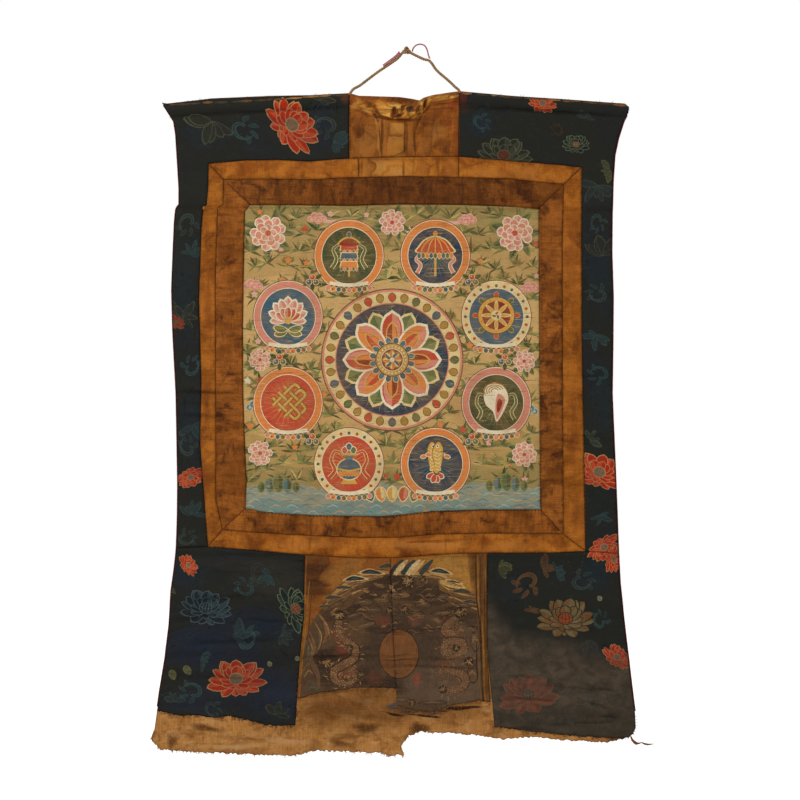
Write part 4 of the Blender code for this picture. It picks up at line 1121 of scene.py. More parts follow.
ROLL_FOOT = [
    (-84, 72), (-69, 79), (-49, 84), (-36, 90), (-22, 97), (4, 96), (16, 88), (27, 87), (36, 76), (81, 70),
]
GOLD_STAINS_AND_PAINTED_LIGHT = [
    # On the heading and the outer frame: stains, lighter and darker places, and on the heading's gathered
    # roll painted highlights on its ridges and painted shadow in its slits, its hole and along its foot.
    # Middle x, drop, half width, half height, turn, colour, strength
    (44, 112, 34, 40, 0, "6a3812", 0.5), (-76, 120, 12, 40, 0, "6b3a16", 0.5),
    (-60, 128, 20, 28, 4, "96622b", 0.6), (-72, 104, 10, 14, 0, "6e3c17", 0.6),
    (-18, 126, 18, 38, 2, "a66e2d", 0.8), (-12, 108, 12, 12, 0, "b9803a", 0.7),
    (-34, 122, 7, 28, 0, "9a612a", 0.6), (-43, 100, 3, 16, -16, "b57c3a", 0.7),
    (-39, 126, 2.6, 28, 0, "b07838", 0.7), (-35, 126, 1.6, 28, 0, "4c2a10", 0.7),
    (42, 122, 16, 16, 0, "94602a", 0.7), (60, 138, 12, 10, 0, "55290f", 0.65),
    (67, 100, 10, 12, 10, "6a3210", 0.65), (76, 126, 6, 34, 0, "6b2f10", 0.6),
    (30, 136, 8, 18, 0, "8a5524", 0.5), (26, 104, 3, 14, 16, "4e2a10", 0.7),
    (13, 136, 2.6, 20, 0, "54300f", 0.7), (6, 132, 5, 20, 0, "8f5c28", 0.6),
    (2, 122, 1.2, 26, 0, "3e220c", 0.6), (-10, 70, 34, 5, 3, "5e3010", 0.9),
    (-50, 66, 20, 3.4, 2, "6b3a18", 0.8), (50, 60, 26, 2.6, -8, "8a5426", 0.7),
    (-74, 74, 9, 7, 10, "b07a34", 0.85), (-58, 82, 9, 5, 30, "c08a40", 0.8),
    (-80, 68, 5, 5, 0, "7a3f18", 0.7), (-36, 80, 12, 7, 10, "cf9640", 0.9),
    (-22, 84, 18, 10, 10, "cf9440", 0.95), (-24, 90, 16, 5, 6, "e0a850", 0.8),
    (-2, 88, 12, 8, -8, "c08534", 0.9), (-14, 78, 10, 3, 6, "e2ac54", 0.8),
    (14, 86, 9, 5, -30, "c88e3a", 0.9), (24, 77, 5, 9, 14, "cb9340", 0.9),
    (34, 68, 7, 4, -20, "c08a3a", 0.9), (58, 65, 16, 3.6, -8, "b9823a", 0.85),
    (70, 64, 5, 2, -6, "d9a452", 0.7), (50, 76, 14, 4, -6, "8a481c", 0.8),
    (70, 76, 9, 6, -6, "96421a", 0.7), (29, 76, 1.8, 9, 10, "42210c", 0.9),
    (18, 82, 2, 5, 30, "4a280e", 0.85), (-54, 75, 7, 3.4, 20, "54300f", 0.9),
    (-44, 84, 2, 8, -30, "5a3412", 0.8), (-17, 88, 4, 6, 20, "3a1e0b", 0.95),
    (-10, 92, 6, 2.4, -20, "2e1808", 0.9), (7.4, 81, 4.6, 4.4, 20, "34302c", 1.0),
    (-4, 80, 2, 6, 10, "6a3e16", 0.8), (-30, 96, 16, 2.2, 14, "472409", 0.8),
    (2, 99, 22, 2.2, -3, "4a260c", 0.75), (-64, 88, 10, 2.2, 24, "4e2a10", 0.75),
    (46, 82, 16, 2, -4, "5a2c10", 0.7), (-30, 170, 36, 10, 0, "b9823e", 0.75),
    (-60, 172, 10, 12, 0, "a26a2e", 0.6), (-12, 176, 16, 7, 0, "c08b45", 0.6),
    (48, 170, 3, 13, 0, "6a3a16", 0.6), (26, 170, 8, 13, 0, "8a5424", 0.5),
    (-3, 170, 1.4, 14, 0, "5a3414", 0.6), (-53, 188, 12, 1.6, 3, "1b0d05", 0.95),
    (-66, 168, 2, 14, 0, "5e3412", 0.6), (70, 170, 12, 12, 0, "8a5020", 0.5),
    (120, 176, 26, 6, 4, "a86a2c", 0.5), (180, 178, 22, 8, 5, "b17030", 0.5),
    (-230, 168, 40, 6, 0, "7f3f14", 0.5), (-140, 170, 30, 8, 0, "9a5520", 0.5),
    (-150, 734, 46, 7, 0, "a9682a", 0.5), (30, 735, 60, 7, 0, "b47435", 0.6),
    (150, 738, 40, 6, -3, "a96c2c", 0.5), (60, 729, 40, 2, -3, "5a2f10", 0.5),
    (-296, 380, 5, 40, 0, "7a3c14", 0.6), (-298, 520, 6, 30, 0, "5c2b0d", 0.6),
    (250, 300, 6, 60, 0, "93521d", 0.5), (252, 560, 5, 50, 0, "713812", 0.5),
    (-300, 640, 6, 26, 0, "6b3411", 0.6), (258, 690, 8, 22, 0, "6e3712", 0.6),
    (-288, 712, 14, 10, 0, "63300f", 0.5),
]


def marks(table):
    """Stains and scraps, painted highlights on ridges and painted shadow in slits and under edges, with
    soft, uneven edges.
    """
    shapes = []
    pen = Pen(shapes)
    for x, drop, wide, tall, turn, ink, strength in table:
        spot = pen.at(x, drop, turn=turn)
        ring = []
        for k in range(14):
            angle = 2 * math.pi * k / 14
            reach = 1 + 0.16 * math.sin(3 * angle + x) + 0.1 * math.sin(5 * angle + drop)
            ring.append((wide * reach * math.cos(angle), tall * reach * math.sin(angle)))
        for scale, share in (
            (1.45, 0.12), (1.3, 0.28), (1.15, 0.45), (1.0, 0.62), (0.85, 0.78), (0.65, 0.9), (0.45, 1.0),
        ):
            spot.blob([(px * scale, pd * scale) for px, pd in ring], ink, kind=share * strength)
    return shapes


def washes(table):
    """Stains that fade out softly into what they lie on."""
    shapes = []
    pen = Pen(shapes)
    for x, drop, wide, tall, turn, ink, strength in table:
        spot = pen.at(x, drop, turn=turn)
        for n, scale in enumerate((1.5, 1.32, 1.15, 0.98, 0.8, 0.62, 0.42)):
            ring = []
            for k in range(16):
                angle = 2 * math.pi * k / 16
                reach = scale * (
                    1 + 0.13 * math.sin(3 * angle + x + 0.6 * n) + 0.09 * math.sin(5 * angle + drop - n)
                )
                ring.append((wide * reach * math.cos(angle), tall * reach * math.sin(angle)))
            spot.fill(ring, ink, -min(0.5, 0.36 * strength))
    return shapes


def crumple(x, drop):
    """The gathered roll along the top of the heading, with its ledge and its gathers."""
    xs = [row[0] for row in CRUMPLE]
    middle, half, forward = (np.interp(x, xs, [row[k] for row in CRUMPLE]) for k in (1, 2, 3))
    away = np.clip((drop - middle) / half, -1, 1)
    below = drop - np.interp(x, [p[0] for p in ROLL_FOOT], [p[1] for p in ROLL_FOOT])
    ledge = np.where(below < 0, smooth(1 + below / 9), smooth(1 - below / 1.8))
    gathers = np.abs(np.sin(0.16 * x + 2.2 * away + 2.0 * waver(x, drop, 22, 9, 61)))
    lumps = waver(x, drop, 9, 5, 62) + 0.6 * waver(x, drop, 4, 3, 63)
    inside = smooth(-below / 2 + 0.5)
    crumple = inside * (0.3 * forward * gathers + 1.1 * lumps)
    return 0.55 * forward * (1 - away**2) + 0.45 * forward * ledge + crumple


def make_heading(material):
    # Stains, and on the gathered roll painted highlights and painted shadow.
    stains_and_painted_light = marks(GOLD_STAINS_AND_PAINTED_LIGHT)
    make_cloth(
        "heading_silk_sheet", "heading_silk", material, shapes=stains_and_painted_light, ground="8e4c17",
        step=(2.2, 1.9), rise=wrinkled(crumple, 0.9),
    )
    make_cloth(
        "heading_patch_sheet", "heading_patch", material, shapes=stains_and_painted_light, ground="8e4c17",
        step=(3.5, 3.0), lift=GAP + CLOTH + GAP + 0.8, edge=0.8, dark=0.25,
    )


# The painting: eight lucky emblems in a ring round a lotus, over hills and water

RED, DEEP_RED, ORANGE, ROSE = "bd4430", "862c1e", "dc8040", "d48470"
BLUE, DEEP_BLUE, TEAL = "3a5a69", "24394a", "4a7073"
GREEN, DEEP_GREEN, LEAF = "556640", "39452d", "747d47"
CREAM, GOLD, OCHRE = "e3c88b", "cf9f4a", "a98039"
WHITE, PINK, BROWN = "eadbb8", "dba593", "5e3f27"
CANVAS_MIDDLE = (-20, 458)
RING_RADIUS, AUREOLE_RADIUS, FLOWER_RADIUS = 169, 53, 107


def petal_ring(pen, count, radius, length, width, edge, fills, turn=0.0, half=None):
    """Petals that point outwards all round a circle."""
    for k in range(count):
        spoke = pen.at(0, 0, turn=turn + 360 * k / count)
        spoke.at(0, -radius).petal(0, length, width, edge, fills[k % len(fills)], rim=0.1, half=half)


def ribbons(pen, points, width, edge, fill):
    for flip in (1, -1):
        side = pen.at(0, 0, flip=flip)
        side.line(points, width * 1.5, edge, (0.6, 1.2))
        side.line(points, width, fill, (0.6, 1.2))


def parasol(pen):
    ribbons(pen, [(0.6, -0.02), (0.76, 0.2), (0.58, 0.42), (0.72, 0.74)], 0.1, WHITE, ROSE)
    pen.line([(0, -0.6), (0, 0.86)], 0.09, GOLD)
    dome = [
        (-0.72, -0.06), (-0.66, -0.34), (-0.42, -0.6), (0, -0.74), (0.42, -0.6), (0.66, -0.34),
        (0.72, -0.06),
    ]
    pen.blob(dome, CREAM)
    pen.at(0, -0.02, 0.9).blob(dome, RED)
    for x in (-0.5, -0.25, 0, 0.25, 0.5):
        pen.line([(x * 0.2, -0.68), (x * 0.8, -0.42), (x * 1.15, -0.1)], 0.045, GOLD)
    for k in range(9):
        pen.at(-0.64 + 0.16 * k, -0.1, turn=180).petal(0, 0.3, 0.3, CREAM, (BLUE, GREEN, ORANGE)[k % 3])
    pen.at(0, -0.68).petal(0, 0.26, 0.36, GOLD, ORANGE)


def fishes(pen):
    body = [
        (-0.3, -0.84), (-0.08, -0.7), (0.08, -0.35), (0.05, 0.05), (0.14, 0.36), (0.02, 0.5), (-0.16, 0.3),
        (-0.34, -0.15), (-0.42, -0.55),
    ]
    for flip in (1, -1):
        fish = pen.at(0, 0, turn=10 * flip, flip=flip)
        for angle in (105, 150):
            fish.at(0.06, 0.42).petal(angle, 0.42, 0.3, WHITE, RED)
        for x, drop, angle in ((0.06, -0.3, 70), (-0.36, -0.2, -110)):
            fish.at(x, drop).petal(angle, 0.3, 0.32, WHITE, ORANGE)
        fish.blob(body, BROWN)
        fish.at(-0.01, -0.02, 0.9).blob(body, GOLD)
        for k in range(6):
            drop = -0.42 + 0.14 * k
            fish.line(
                [(-0.3 + 0.03 * k, drop - 0.05), (-0.14, drop + 0.06), (0.02, drop - 0.03)], 0.04, CREAM,
            )
        fish.disc(-0.2, -0.62, 0.07, WHITE)
        fish.disc(-0.2, -0.62, 0.035, DEEP_BLUE)


def vase(pen):
    ribbons(pen, [(0.2, -0.3), (0.55, -0.45), (0.7, -0.1), (0.56, 0.3), (0.78, 0.6)], 0.1, CREAM, RED)
    pen.fill([(-0.34, 0.84), (-0.2, 0.62), (0.2, 0.62), (0.34, 0.84)], GOLD)
    pen.disc(0, 0.26, 0.5, CREAM, 0.88)
    pen.disc(0, 0.26, 0.45, BLUE, 0.88)
    for k in range(7):
        pen.at(-0.36 + 0.12 * k, 0.3, turn=180).petal(0, 0.26, 0.28, GOLD, ORANGE)
    pen.line([(-0.44, 0.24), (0, 0.32), (0.44, 0.24)], 0.07, GOLD)
    pen.fill([(-0.14, -0.12), (-0.18, -0.36), (0.18, -0.36), (0.14, -0.12)], TEAL)
    pen.line([(-0.3, -0.36), (0, -0.33), (0.3, -0.36)], 0.1, GOLD)
    for x, drop, ink in ((-0.17, -0.46, RED), (0.17, -0.46, GREEN), (0, -0.6, BLUE)):
        pen.at(x, drop + 0.14).petal(0, 0.34, 0.4, WHITE, ink)


def blossom(pen):
    pen.line([(0, 0.2), (0.08, 0.55), (-0.05, 0.86)], 0.08, GREEN)
    for angle in (-125, 125, -95, 95):
        pen.at(0, 0.55).petal(angle, 0.6, 0.26, CREAM, GREEN, -0.2 * math.copysign(1, angle), half=LEAF)
    for angle, length in (
        (-92, 0.74), (92, 0.74), (-66, 0.86), (66, 0.86), (-40, 0.92), (40, 0.92), (0, 0.98), (-20, 0.92),
        (20, 0.92),
    ):
        pen.at(0, 0.2).petal(angle, length, 0.21, WHITE, PINK, half=ROSE)
    for angle in (-58, 58, -28, 28, 0):
        pen.at(0, 0.22).petal(angle, 0.6, 0.26, WHITE, ROSE, half=RED)
    pen.disc(0, 0.2, 0.15, GOLD)


def conch(pen):
    ribbons(pen, [(0.3, -0.1), (0.66, -0.3), (0.78, 0.05), (0.6, 0.4), (0.72, 0.7)], 0.09, CREAM, GREEN)
    shell = [
        (-0.08, -0.82), (0.34, -0.62), (0.52, -0.14), (0.36, 0.34), (0.02, 0.86), (-0.14, 0.44),
        (-0.44, 0.14), (-0.54, -0.28), (-0.4, -0.66),
    ]
    pen.blob(shell, BROWN)
    pen.at(0, 0, 0.92).blob(shell, WHITE)
    pen.blob([(0.06, -0.3), (0.34, -0.1), (0.24, 0.3), (0.02, 0.68), (-0.04, 0.2)], ROSE)
    pen.blob([(0.1, -0.12), (0.24, 0.02), (0.16, 0.3), (0.05, 0.44), (0.02, 0.14)], DEEP_RED)
    for k in range(4):
        reach = 0.44 - 0.1 * k
        arc = [
            (-0.06 + reach * math.cos(a), -0.42 + 0.7 * reach * math.sin(a))
            for a in (2.6, 3.5, 4.4, 5.3, 6.0)
        ]
        pen.line(arc, 0.04, OCHRE)


def knot(pen):
    net = pen.at(0, 0, 0.94, 45)
    bars = (-0.34, 0.0, 0.34)
    for flip in (1, -1):
        for turn in (0, 90):
            loop = net.at(0, 0, turn=turn).at(0, 0, flip=flip)
            loop.line([(-0.34, -0.5), (-0.3, -0.72), (-0.04, -0.72), (0, -0.5)], 0.17, BROWN)
            loop.line([(-0.34, -0.5), (-0.3, -0.72), (-0.04, -0.72), (0, -0.5)], 0.11, GOLD)
    for turn in (90, 0):
        for at in bars:
            net.at(0, 0, turn=turn).line([(at, -0.55), (at, 0), (at, 0.55)], 0.17, BROWN)
            net.at(0, 0, turn=turn).line([(at, -0.57), (at, 0), (at, 0.57)], 0.11, GOLD)
    for column, x in enumerate(bars):
        for row, drop in enumerate(bars):
            if (row + column) % 2:
                net.line([(x - 0.13, drop), (x, drop), (x + 0.13, drop)], 0.17, BROWN)
                net.line([(x - 0.15, drop), (x, drop), (x + 0.15, drop)], 0.11, GOLD)


def banner(pen):
    ribbons(pen, [(0.36, -0.4), (0.62, -0.2), (0.5, 0.2), (0.68, 0.55)], 0.1, CREAM, GREEN)
    pen.line([(0, -0.8), (0, 0.88)], 0.08, GOLD)
    for k, ink in enumerate((RED, BLUE, ORANGE)):
        top = -0.42 + 0.34 * k
        pen.fill([(-0.32, top), (0.32, top), (0.38, top + 0.26), (-0.38, top + 0.26)], CREAM)
        pen.fill([(-0.29, top + 0.03), (0.29, top + 0.03), (0.34, top + 0.26), (-0.34, top + 0.26)], ink)
        for n in range(6):
            petal = pen.at(-0.3 + 0.12 * n, top + 0.22, turn=180)
            petal.petal(0, 0.2, 0.32, CREAM, (GREEN, ROSE)[n % 2])
    cap = [(-0.42, -0.38), (-0.3, -0.6), (0, -0.7), (0.3, -0.6), (0.42, -0.38)]
    pen.blob(cap, GOLD)
    pen.at(0, -0.03, 0.86).blob(cap, DEEP_RED)
    pen.at(0, -0.62).petal(0, 0.3, 0.34, GOLD, BLUE)


def wheel(pen):
    petal_ring(pen, 8, 0.66, 0.3, 0.36, GOLD, (RED, GREEN))
    pen.disc(0, 0, 0.74, BROWN)
    pen.disc(0, 0, 0.71, GOLD)
    pen.disc(0, 0, 0.56, DEEP_RED)
    petal_ring(pen, 16, 0.56, 0.12, 0.4, GOLD, (ORANGE,))
    for k in range(8):
        spoke = pen.at(0, 0, turn=45 * k)
        spoke.petal(0, 0.6, 0.13, CREAM, GOLD)
    pen.disc(0, 0, 0.2, CREAM)
    for k, ink in enumerate((RED, BLUE, GREEN)):
        pen.petal(120 * k, 0.18, 0.4, CREAM, ink, 0.4)


def peony(pen, size, draws):
    flower = pen.at(0, 0, size)
    for angle in (-140, -95, -50, 40, 90, 135, 180):
        flower.petal(
            angle + draws.uniform(-15, 15), 1.5, 0.16, LEAF, DEEP_GREEN, draws.uniform(-0.3, 0.3),
            half=GREEN,
        )
    for count, reach, petal, ink in ((9, 0.42, 0.62, PINK), (7, 0.2, 0.58, ROSE), (5, 0.02, 0.5, PINK)):
        for k in range(count):
            spoke = flower.at(0, 0, turn=360 * k / count + draws.uniform(-12, 12)).at(0, -reach)
            spoke.petal(draws.uniform(-12, 12), petal, 0.46, WHITE, ink, 0, 0.12, ROSE)
    flower.disc(0, 0, 0.16, RED)


def cloud(pen, size, light, dark, turn=0, flip=1):
    puff = pen.at(0, 0, size, turn, flip)
    lobes = [
        (-0.6, 0.05, 0.3), (-0.25, -0.2, 0.36), (0.2, -0.16, 0.34), (0.55, 0.05, 0.28), (0.05, 0.14, 0.34),
    ]
    puff.line([(0.3, 0.1), (1.0, 0.28), (1.7, 0.12)], 0.3, light, (1.0, 0.1))
    for x, drop, radius in lobes:
        puff.disc(x, drop, radius, light)
        puff.disc(x, drop + 0.03, radius * 0.78, dark)
        puff.disc(x + 0.05, drop + 0.05, radius * 0.42, light)


FOLIAGE = (DEEP_GREEN, GREEN, "4d5634", "35402a", "9c9452", LEAF, "bfa968", "6a6a3c")


def tuft(pen, size, draws):
    """A clump of long narrow leaves, at times with a small flower."""
    angles = np.arange(11) * 2 * math.pi / 11
    shadow = np.stack((0.42 * np.cos(angles), 0.34 * np.sin(angles) - 0.25), axis=1)
    pen.fill(shadow * size, "927a44")
    for k in range(8):
        angle = -100 + 28 * k + draws.uniform(-14, 14)
        pen.leaf(
            angle, size * draws.uniform(0.6, 1.05), draws.uniform(0.07, 0.12), draws.choice(FOLIAGE),
            draws.uniform(-0.5, 0.5),
        )
    if draws.random() < 0.3:
        ink = draws.choice((PINK, WHITE, ORANGE, RED))
        for k in range(5):
            pen.at(0, -0.3 * size).leaf(72 * k, 0.26 * size, 0.36, ink)


def throne(pen, count, reach):
    """A row of lotus petals under an aureole."""
    pen.line([(-reach, 2), (0, 5.5), (reach, 2)], 7.5, BROWN)
    pen.line([(-reach, 1), (0, 4.2), (reach, 1)], 5.5, WHITE)
    for k in range(count):
        share = 2 * k / (count - 1) - 1
        spot = pen.at(share * reach, 3.5 + 3 * (1 - share**2), turn=180 - 24 * share)
        spot.petal(0, 10, 0.42, CREAM, (ROSE, ORANGE, BLUE, GREEN)[k % 4], half=RED if k % 2 else None)


EMBLEMS = [
    # what it draws, aureole, field, rays
    (parasol, ORANGE, DEEP_BLUE, TEAL), (wheel, CREAM, BLUE, TEAL), (conch, ROSE, DEEP_GREEN, LEAF),
    (fishes, ORANGE, DEEP_BLUE, TEAL), (vase, CREAM, RED, ORANGE), (knot, ORANGE, RED, ORANGE),
    (blossom, ROSE, BLUE, TEAL), (banner, ORANGE, DEEP_GREEN, LEAF),
]


def landscape(pen, draws):
    """Sky, hills and water in bands, with foliage and waves."""
    bands = [
        (-232, "9a8650"), (-206, "ab8e58"), (-168, "bd9a60"), (-120, "cba469"), (40, "c69f63"),
        (110, "b39155"), (158, "9c8650"), (188, "879280"), (214, "698882"),
    ]
    for top, ink in bands:
        edge = [
            (x, top + 5 * math.sin(0.043 * x + top) + draws.uniform(-2, 2)) for x in range(-240, 241, 12)
        ]
        pen.fill([*edge, (240, 245), (-240, 245)], ink, 0.0)
    for row in range(17):
        for column in range(18):
            x = -222 + 26 * column + (13 if row % 2 else 0) + draws.uniform(-6, 6)
            drop = -216 + 25 * row + draws.uniform(-6, 6)
            reach, turn = math.hypot(x, drop), math.atan2(x, -drop)
            turn = turn % (math.pi / 4) - math.pi / 8
            hidden = reach < FLOWER_RADIUS - 6 or (
                math.hypot(
                    reach * math.cos(turn) - RING_RADIUS, reach * math.sin(turn),
                ) < AUREOLE_RADIUS - 8
            )
            if abs(x) < 218 and -226 < drop < 186 and not hidden:
                tuft(pen.at(x, drop), draws.uniform(17, 24), draws)
    for row in range(5):
        for k in range(22):
            x = -226 + 21.3 * k + (10.6 if row % 2 else 0) + draws.uniform(-2, 2)
            drop = 193 + 9 * row
            ink = ("9db0a0", "4f7378", "b59a74")[(k + row) % 3]
            pen.line(
                [(x - 9, drop + 2), (x, drop - 2.5), (x + 9, drop + 2)], 1.8, ink, (0.3, 0.3), step=3.0,
            )


def painting_shapes():
    shapes = []
    draws = random.Random(7)
    pen = Pen(shapes, *CANVAS_MIDDLE)
    landscape(pen, draws)
    for x, drop, flip in (
        (-112, -212, 1), (112, -210, -1), (-208, -112, 1), (206, -108, -1), (-204, 70, 1), (204, 76, -1),
    ):
        cloud(pen.at(x, drop), 17, PINK if drop < 0 else "a9b5a6", ROSE if drop < 0 else TEAL, 0, flip)
    for x, drop, size in (
        (-186, -190, 27), (184, -190, 27), (-198, 0, 17), (198, 2, 17), (0, -206, 20), (-198, 140, 19),
        (198, 142, 19),
    ):
        peony(pen.at(x, drop), size, draws)
    for x, ink, half in (
        (-30, BLUE, TEAL), (30, GREEN, LEAF), (-15, ORANGE, CREAM), (15, RED, ROSE), (0, GOLD, CREAM),
    ):
        pen.at(x, 214).petal(x * 0.6, 26, 0.34, CREAM, ink, half=half)
    for x, drop in ((-170, 186), (172, 184)):
        for k in range(5):
            pen.at(x - 26 + 13 * k, drop + 14).petal(
                0, 30 - 6 * abs(k - 2), 0.34, LEAF, (GREEN, TEAL)[k % 2], half=DEEP_GREEN,
            )

    for k, (emblem, ring, field, ray) in enumerate(EMBLEMS):
        angle = math.radians(22.5 + 45 * k)
        spot = pen.at(RING_RADIUS * math.sin(angle), -RING_RADIUS * math.cos(angle))
        spot.disc(0, 0, AUREOLE_RADIUS, DEEP_RED if ring != ROSE else BROWN, 1.04)
        spot.disc(0, 0, AUREOLE_RADIUS - 1.2, WHITE, 1.04)
        spot.disc(0, 0, AUREOLE_RADIUS - 2.2, ring, 1.04)
        if ring == CREAM:
            petal_ring(spot, 24, 43.5, 5.5, 0.42, BROWN, (BLUE, RED))
        spot.disc(0, 0, 41.5, WHITE, 1.04)
        spot.disc(0, 0, 40.5, field, 1.04)
        for n in range(24):
            spot.at(0, 0, turn=15 * n).leaf(0, 39.5, 0.012, ray)
        throne(spot.at(0, 40), 9, 29)
        emblem(spot.at(0, -2, 38))

    for k in range(8):
        gem = pen.at(RING_RADIUS * math.sin(math.pi * k / 4), -RING_RADIUS * math.cos(math.pi * k / 4), 9)
        if k == 0 or k == 4:
            continue
        for angle in (-120, -60, 0, 60, 120, 180):
            gem.petal(angle, 1.9, 0.2, LEAF, DEEP_GREEN)
        for x, drop, ink in ((-0.6, 0.35, BLUE), (0.6, 0.35, GREEN), (0, -0.5, RED)):
            gem.disc(x, drop, 0.62, BROWN)
            gem.disc(x, drop, 0.54, CREAM)
            gem.disc(x, drop, 0.44, ink)
            gem.disc(x - 0.12, drop - 0.14, 0.14, PINK)

    heart = pen.at(0, 0, FLOWER_RADIUS)
    heart.disc(0, 0, 1.0, BROWN)
    heart.disc(0, 0, 0.985, ROSE)
    heart.disc(0, 0, 0.955, CREAM)
    petal_ring(heart, 32, 0.8, 0.145, 0.4, BROWN, (RED, OCHRE, GREEN, OCHRE, BLUE, OCHRE))
    heart.disc(0, 0, 0.8, ROSE)
    heart.disc(0, 0, 0.785, DEEP_BLUE)
    for n in range(48):
        ray = heart.at(0, 0, turn=7.5 * n).at(0, -0.42)
        ray.leaf(0, 0.35, 0.018, ("9a8850", TEAL)[n % 2], 0.03 if n % 2 else -0.03)
    petal_ring(heart, 8, 0.1, 0.62, 0.24, CREAM, (GREEN,), 22.5, LEAF)
    petal_ring(heart, 8, 0.08, 0.62, 0.27, WHITE, (RED, ORANGE), 0, ROSE)
    petal_ring(heart, 8, 0.1, 0.44, 0.2, GOLD, (DEEP_RED, RED), 0, ORANGE)
    petal_ring(heart, 16, 0.2, 0.13, 0.34, CREAM, (BLUE, TEAL), 11.25)
    heart.disc(0, 0, 0.235, BROWN)
    heart.disc(0, 0, 0.222, GOLD)
    petal_ring(heart, 24, 0.165, 0.05, 0.4, BROWN, (CREAM,))
    heart.disc(0, 0, 0.16, WHITE)
    heart.disc(0, 0, 0.15, DEEP_RED)
    petal_ring(heart, 8, 0.0, 0.14, 0.3, GOLD, (ORANGE, BLUE), 0, CREAM)
    heart.disc(0, 0, 0.035, WHITE)
    return shapes


def make_painting():
    make_cloth(
        "painted_canvas_sheet", "painted_canvas", painting_look(), shapes=painting_shapes(),
        ground="a98c58", step=(7.6, 5.6),
    )


# The door: dragons and clouds over a worn field, under an arch of bright clouds

ARCH = [
    # corners of the dark wedges along the arch, and 1 for the bright ones
    ([(-64.5, 778), (-53, 772.5), (-37, 778.5)], 1), ([(-88, 789), (-78, 782.5), (-62, 787)], 1),
    ([(-104, 800.5), (-93, 797), (-81, 800.5)], 0), ([(-118, 816), (-112, 811.5), (-96, 814.5)], 0),
    ([(-128.5, 828.5), (-122, 825.5), (-110, 827.5)], 0), ([(40.5, 775.5), (51, 771), (65, 778.5)], 1),
    ([(62, 790), (72, 789), (81, 793)], 1), ([(72, 805.5), (86, 802), (96, 807.5)], 0),
    ([(88, 821), (98, 818), (108, 823.5)], 0), ([(-39.5, 769), (-26, 763.5), (-23.5, 769)], 0),
]
BANDS = [
    # points, width, colour
    ([(-112, 840), (-92, 825), (-68, 814)], 9, "664931"),
    ([(-96, 822), (-78, 810), (-56, 802)], 8, "6f4e30"), ([(64, 822), (82, 831), (98, 837)], 8, "5c432e"),
    ([(56, 812), (74, 818), (90, 822)], 7, "66492f"),
    ([(-124, 832), (-104, 818), (-82, 806)], 13, "7a5634"),
    ([(-118, 820), (-98, 806), (-76, 796)], 10, "9a6e42"),
    ([(-104, 806), (-86, 796), (-66, 789)], 9, "b5884c"),
    ([(-88, 792), (-66, 786), (-34, 781)], 9, "a87a46"),
    ([(-66, 781), (-46, 778), (-24, 777)], 7, "b8854a"),
    ([(-38, 771), (-30, 768), (-24, 766)], 5, "8f6136"),
    ([(-20, 779), (10, 779), (34, 781), (56, 786)], 6, "b98a4c"),
    ([(36, 778), (54, 782), (66, 787)], 6, "c8995a"), ([(52, 790), (66, 797), (90, 800)], 9, "d3a65e"),
    ([(60, 787), (74, 792), (86, 796)], 6, "cfa05a"), ([(62, 806), (84, 812), (106, 816)], 9, "745030"),
    ([(70, 816), (90, 824), (108, 828)], 9, "69482d"), ([(92, 830), (106, 834), (113, 840)], 8, "5e4430"),
]
SIDE_STROKES = [
    # points, width, colour
    ([(-132, 838), (-122, 850), (-118, 868), (-124, 884)], 7, "805a38"),
    ([(-140, 846), (-130, 862), (-128, 880), (-134, 898)], 6, "65503a"),
    ([(-128, 842), (-118, 856), (-114, 872)], 4, "9a6e42"),
    ([(-146, 862), (-138, 880), (-138, 896), (-146, 912)], 7, "74543a"),
    ([(-150, 876), (-145, 896), (-150, 914)], 5, "5b5a44"),
    ([(-136, 852), (-126, 872), (-130, 892)], 2, "a87b4c"),
    ([(-148, 868), (-140, 890), (-144, 906)], 2, "8f6d46"),
    ([(-154, 925), (-142, 912), (-132, 930), (-130, 950)], 9, "6a4d36"),
    ([(-150, 948), (-142, 938), (-136, 950)], 8, "5f4a38"),
    ([(-152, 934), (-145, 924), (-138, 930)], 2, "9a7446"),
    ([(-146, 954), (-138, 948), (-128, 956)], 4, "4d5440"),
    ([(-120, 880), (-112, 874), (-108, 862)], 4, "6f5036"),
]
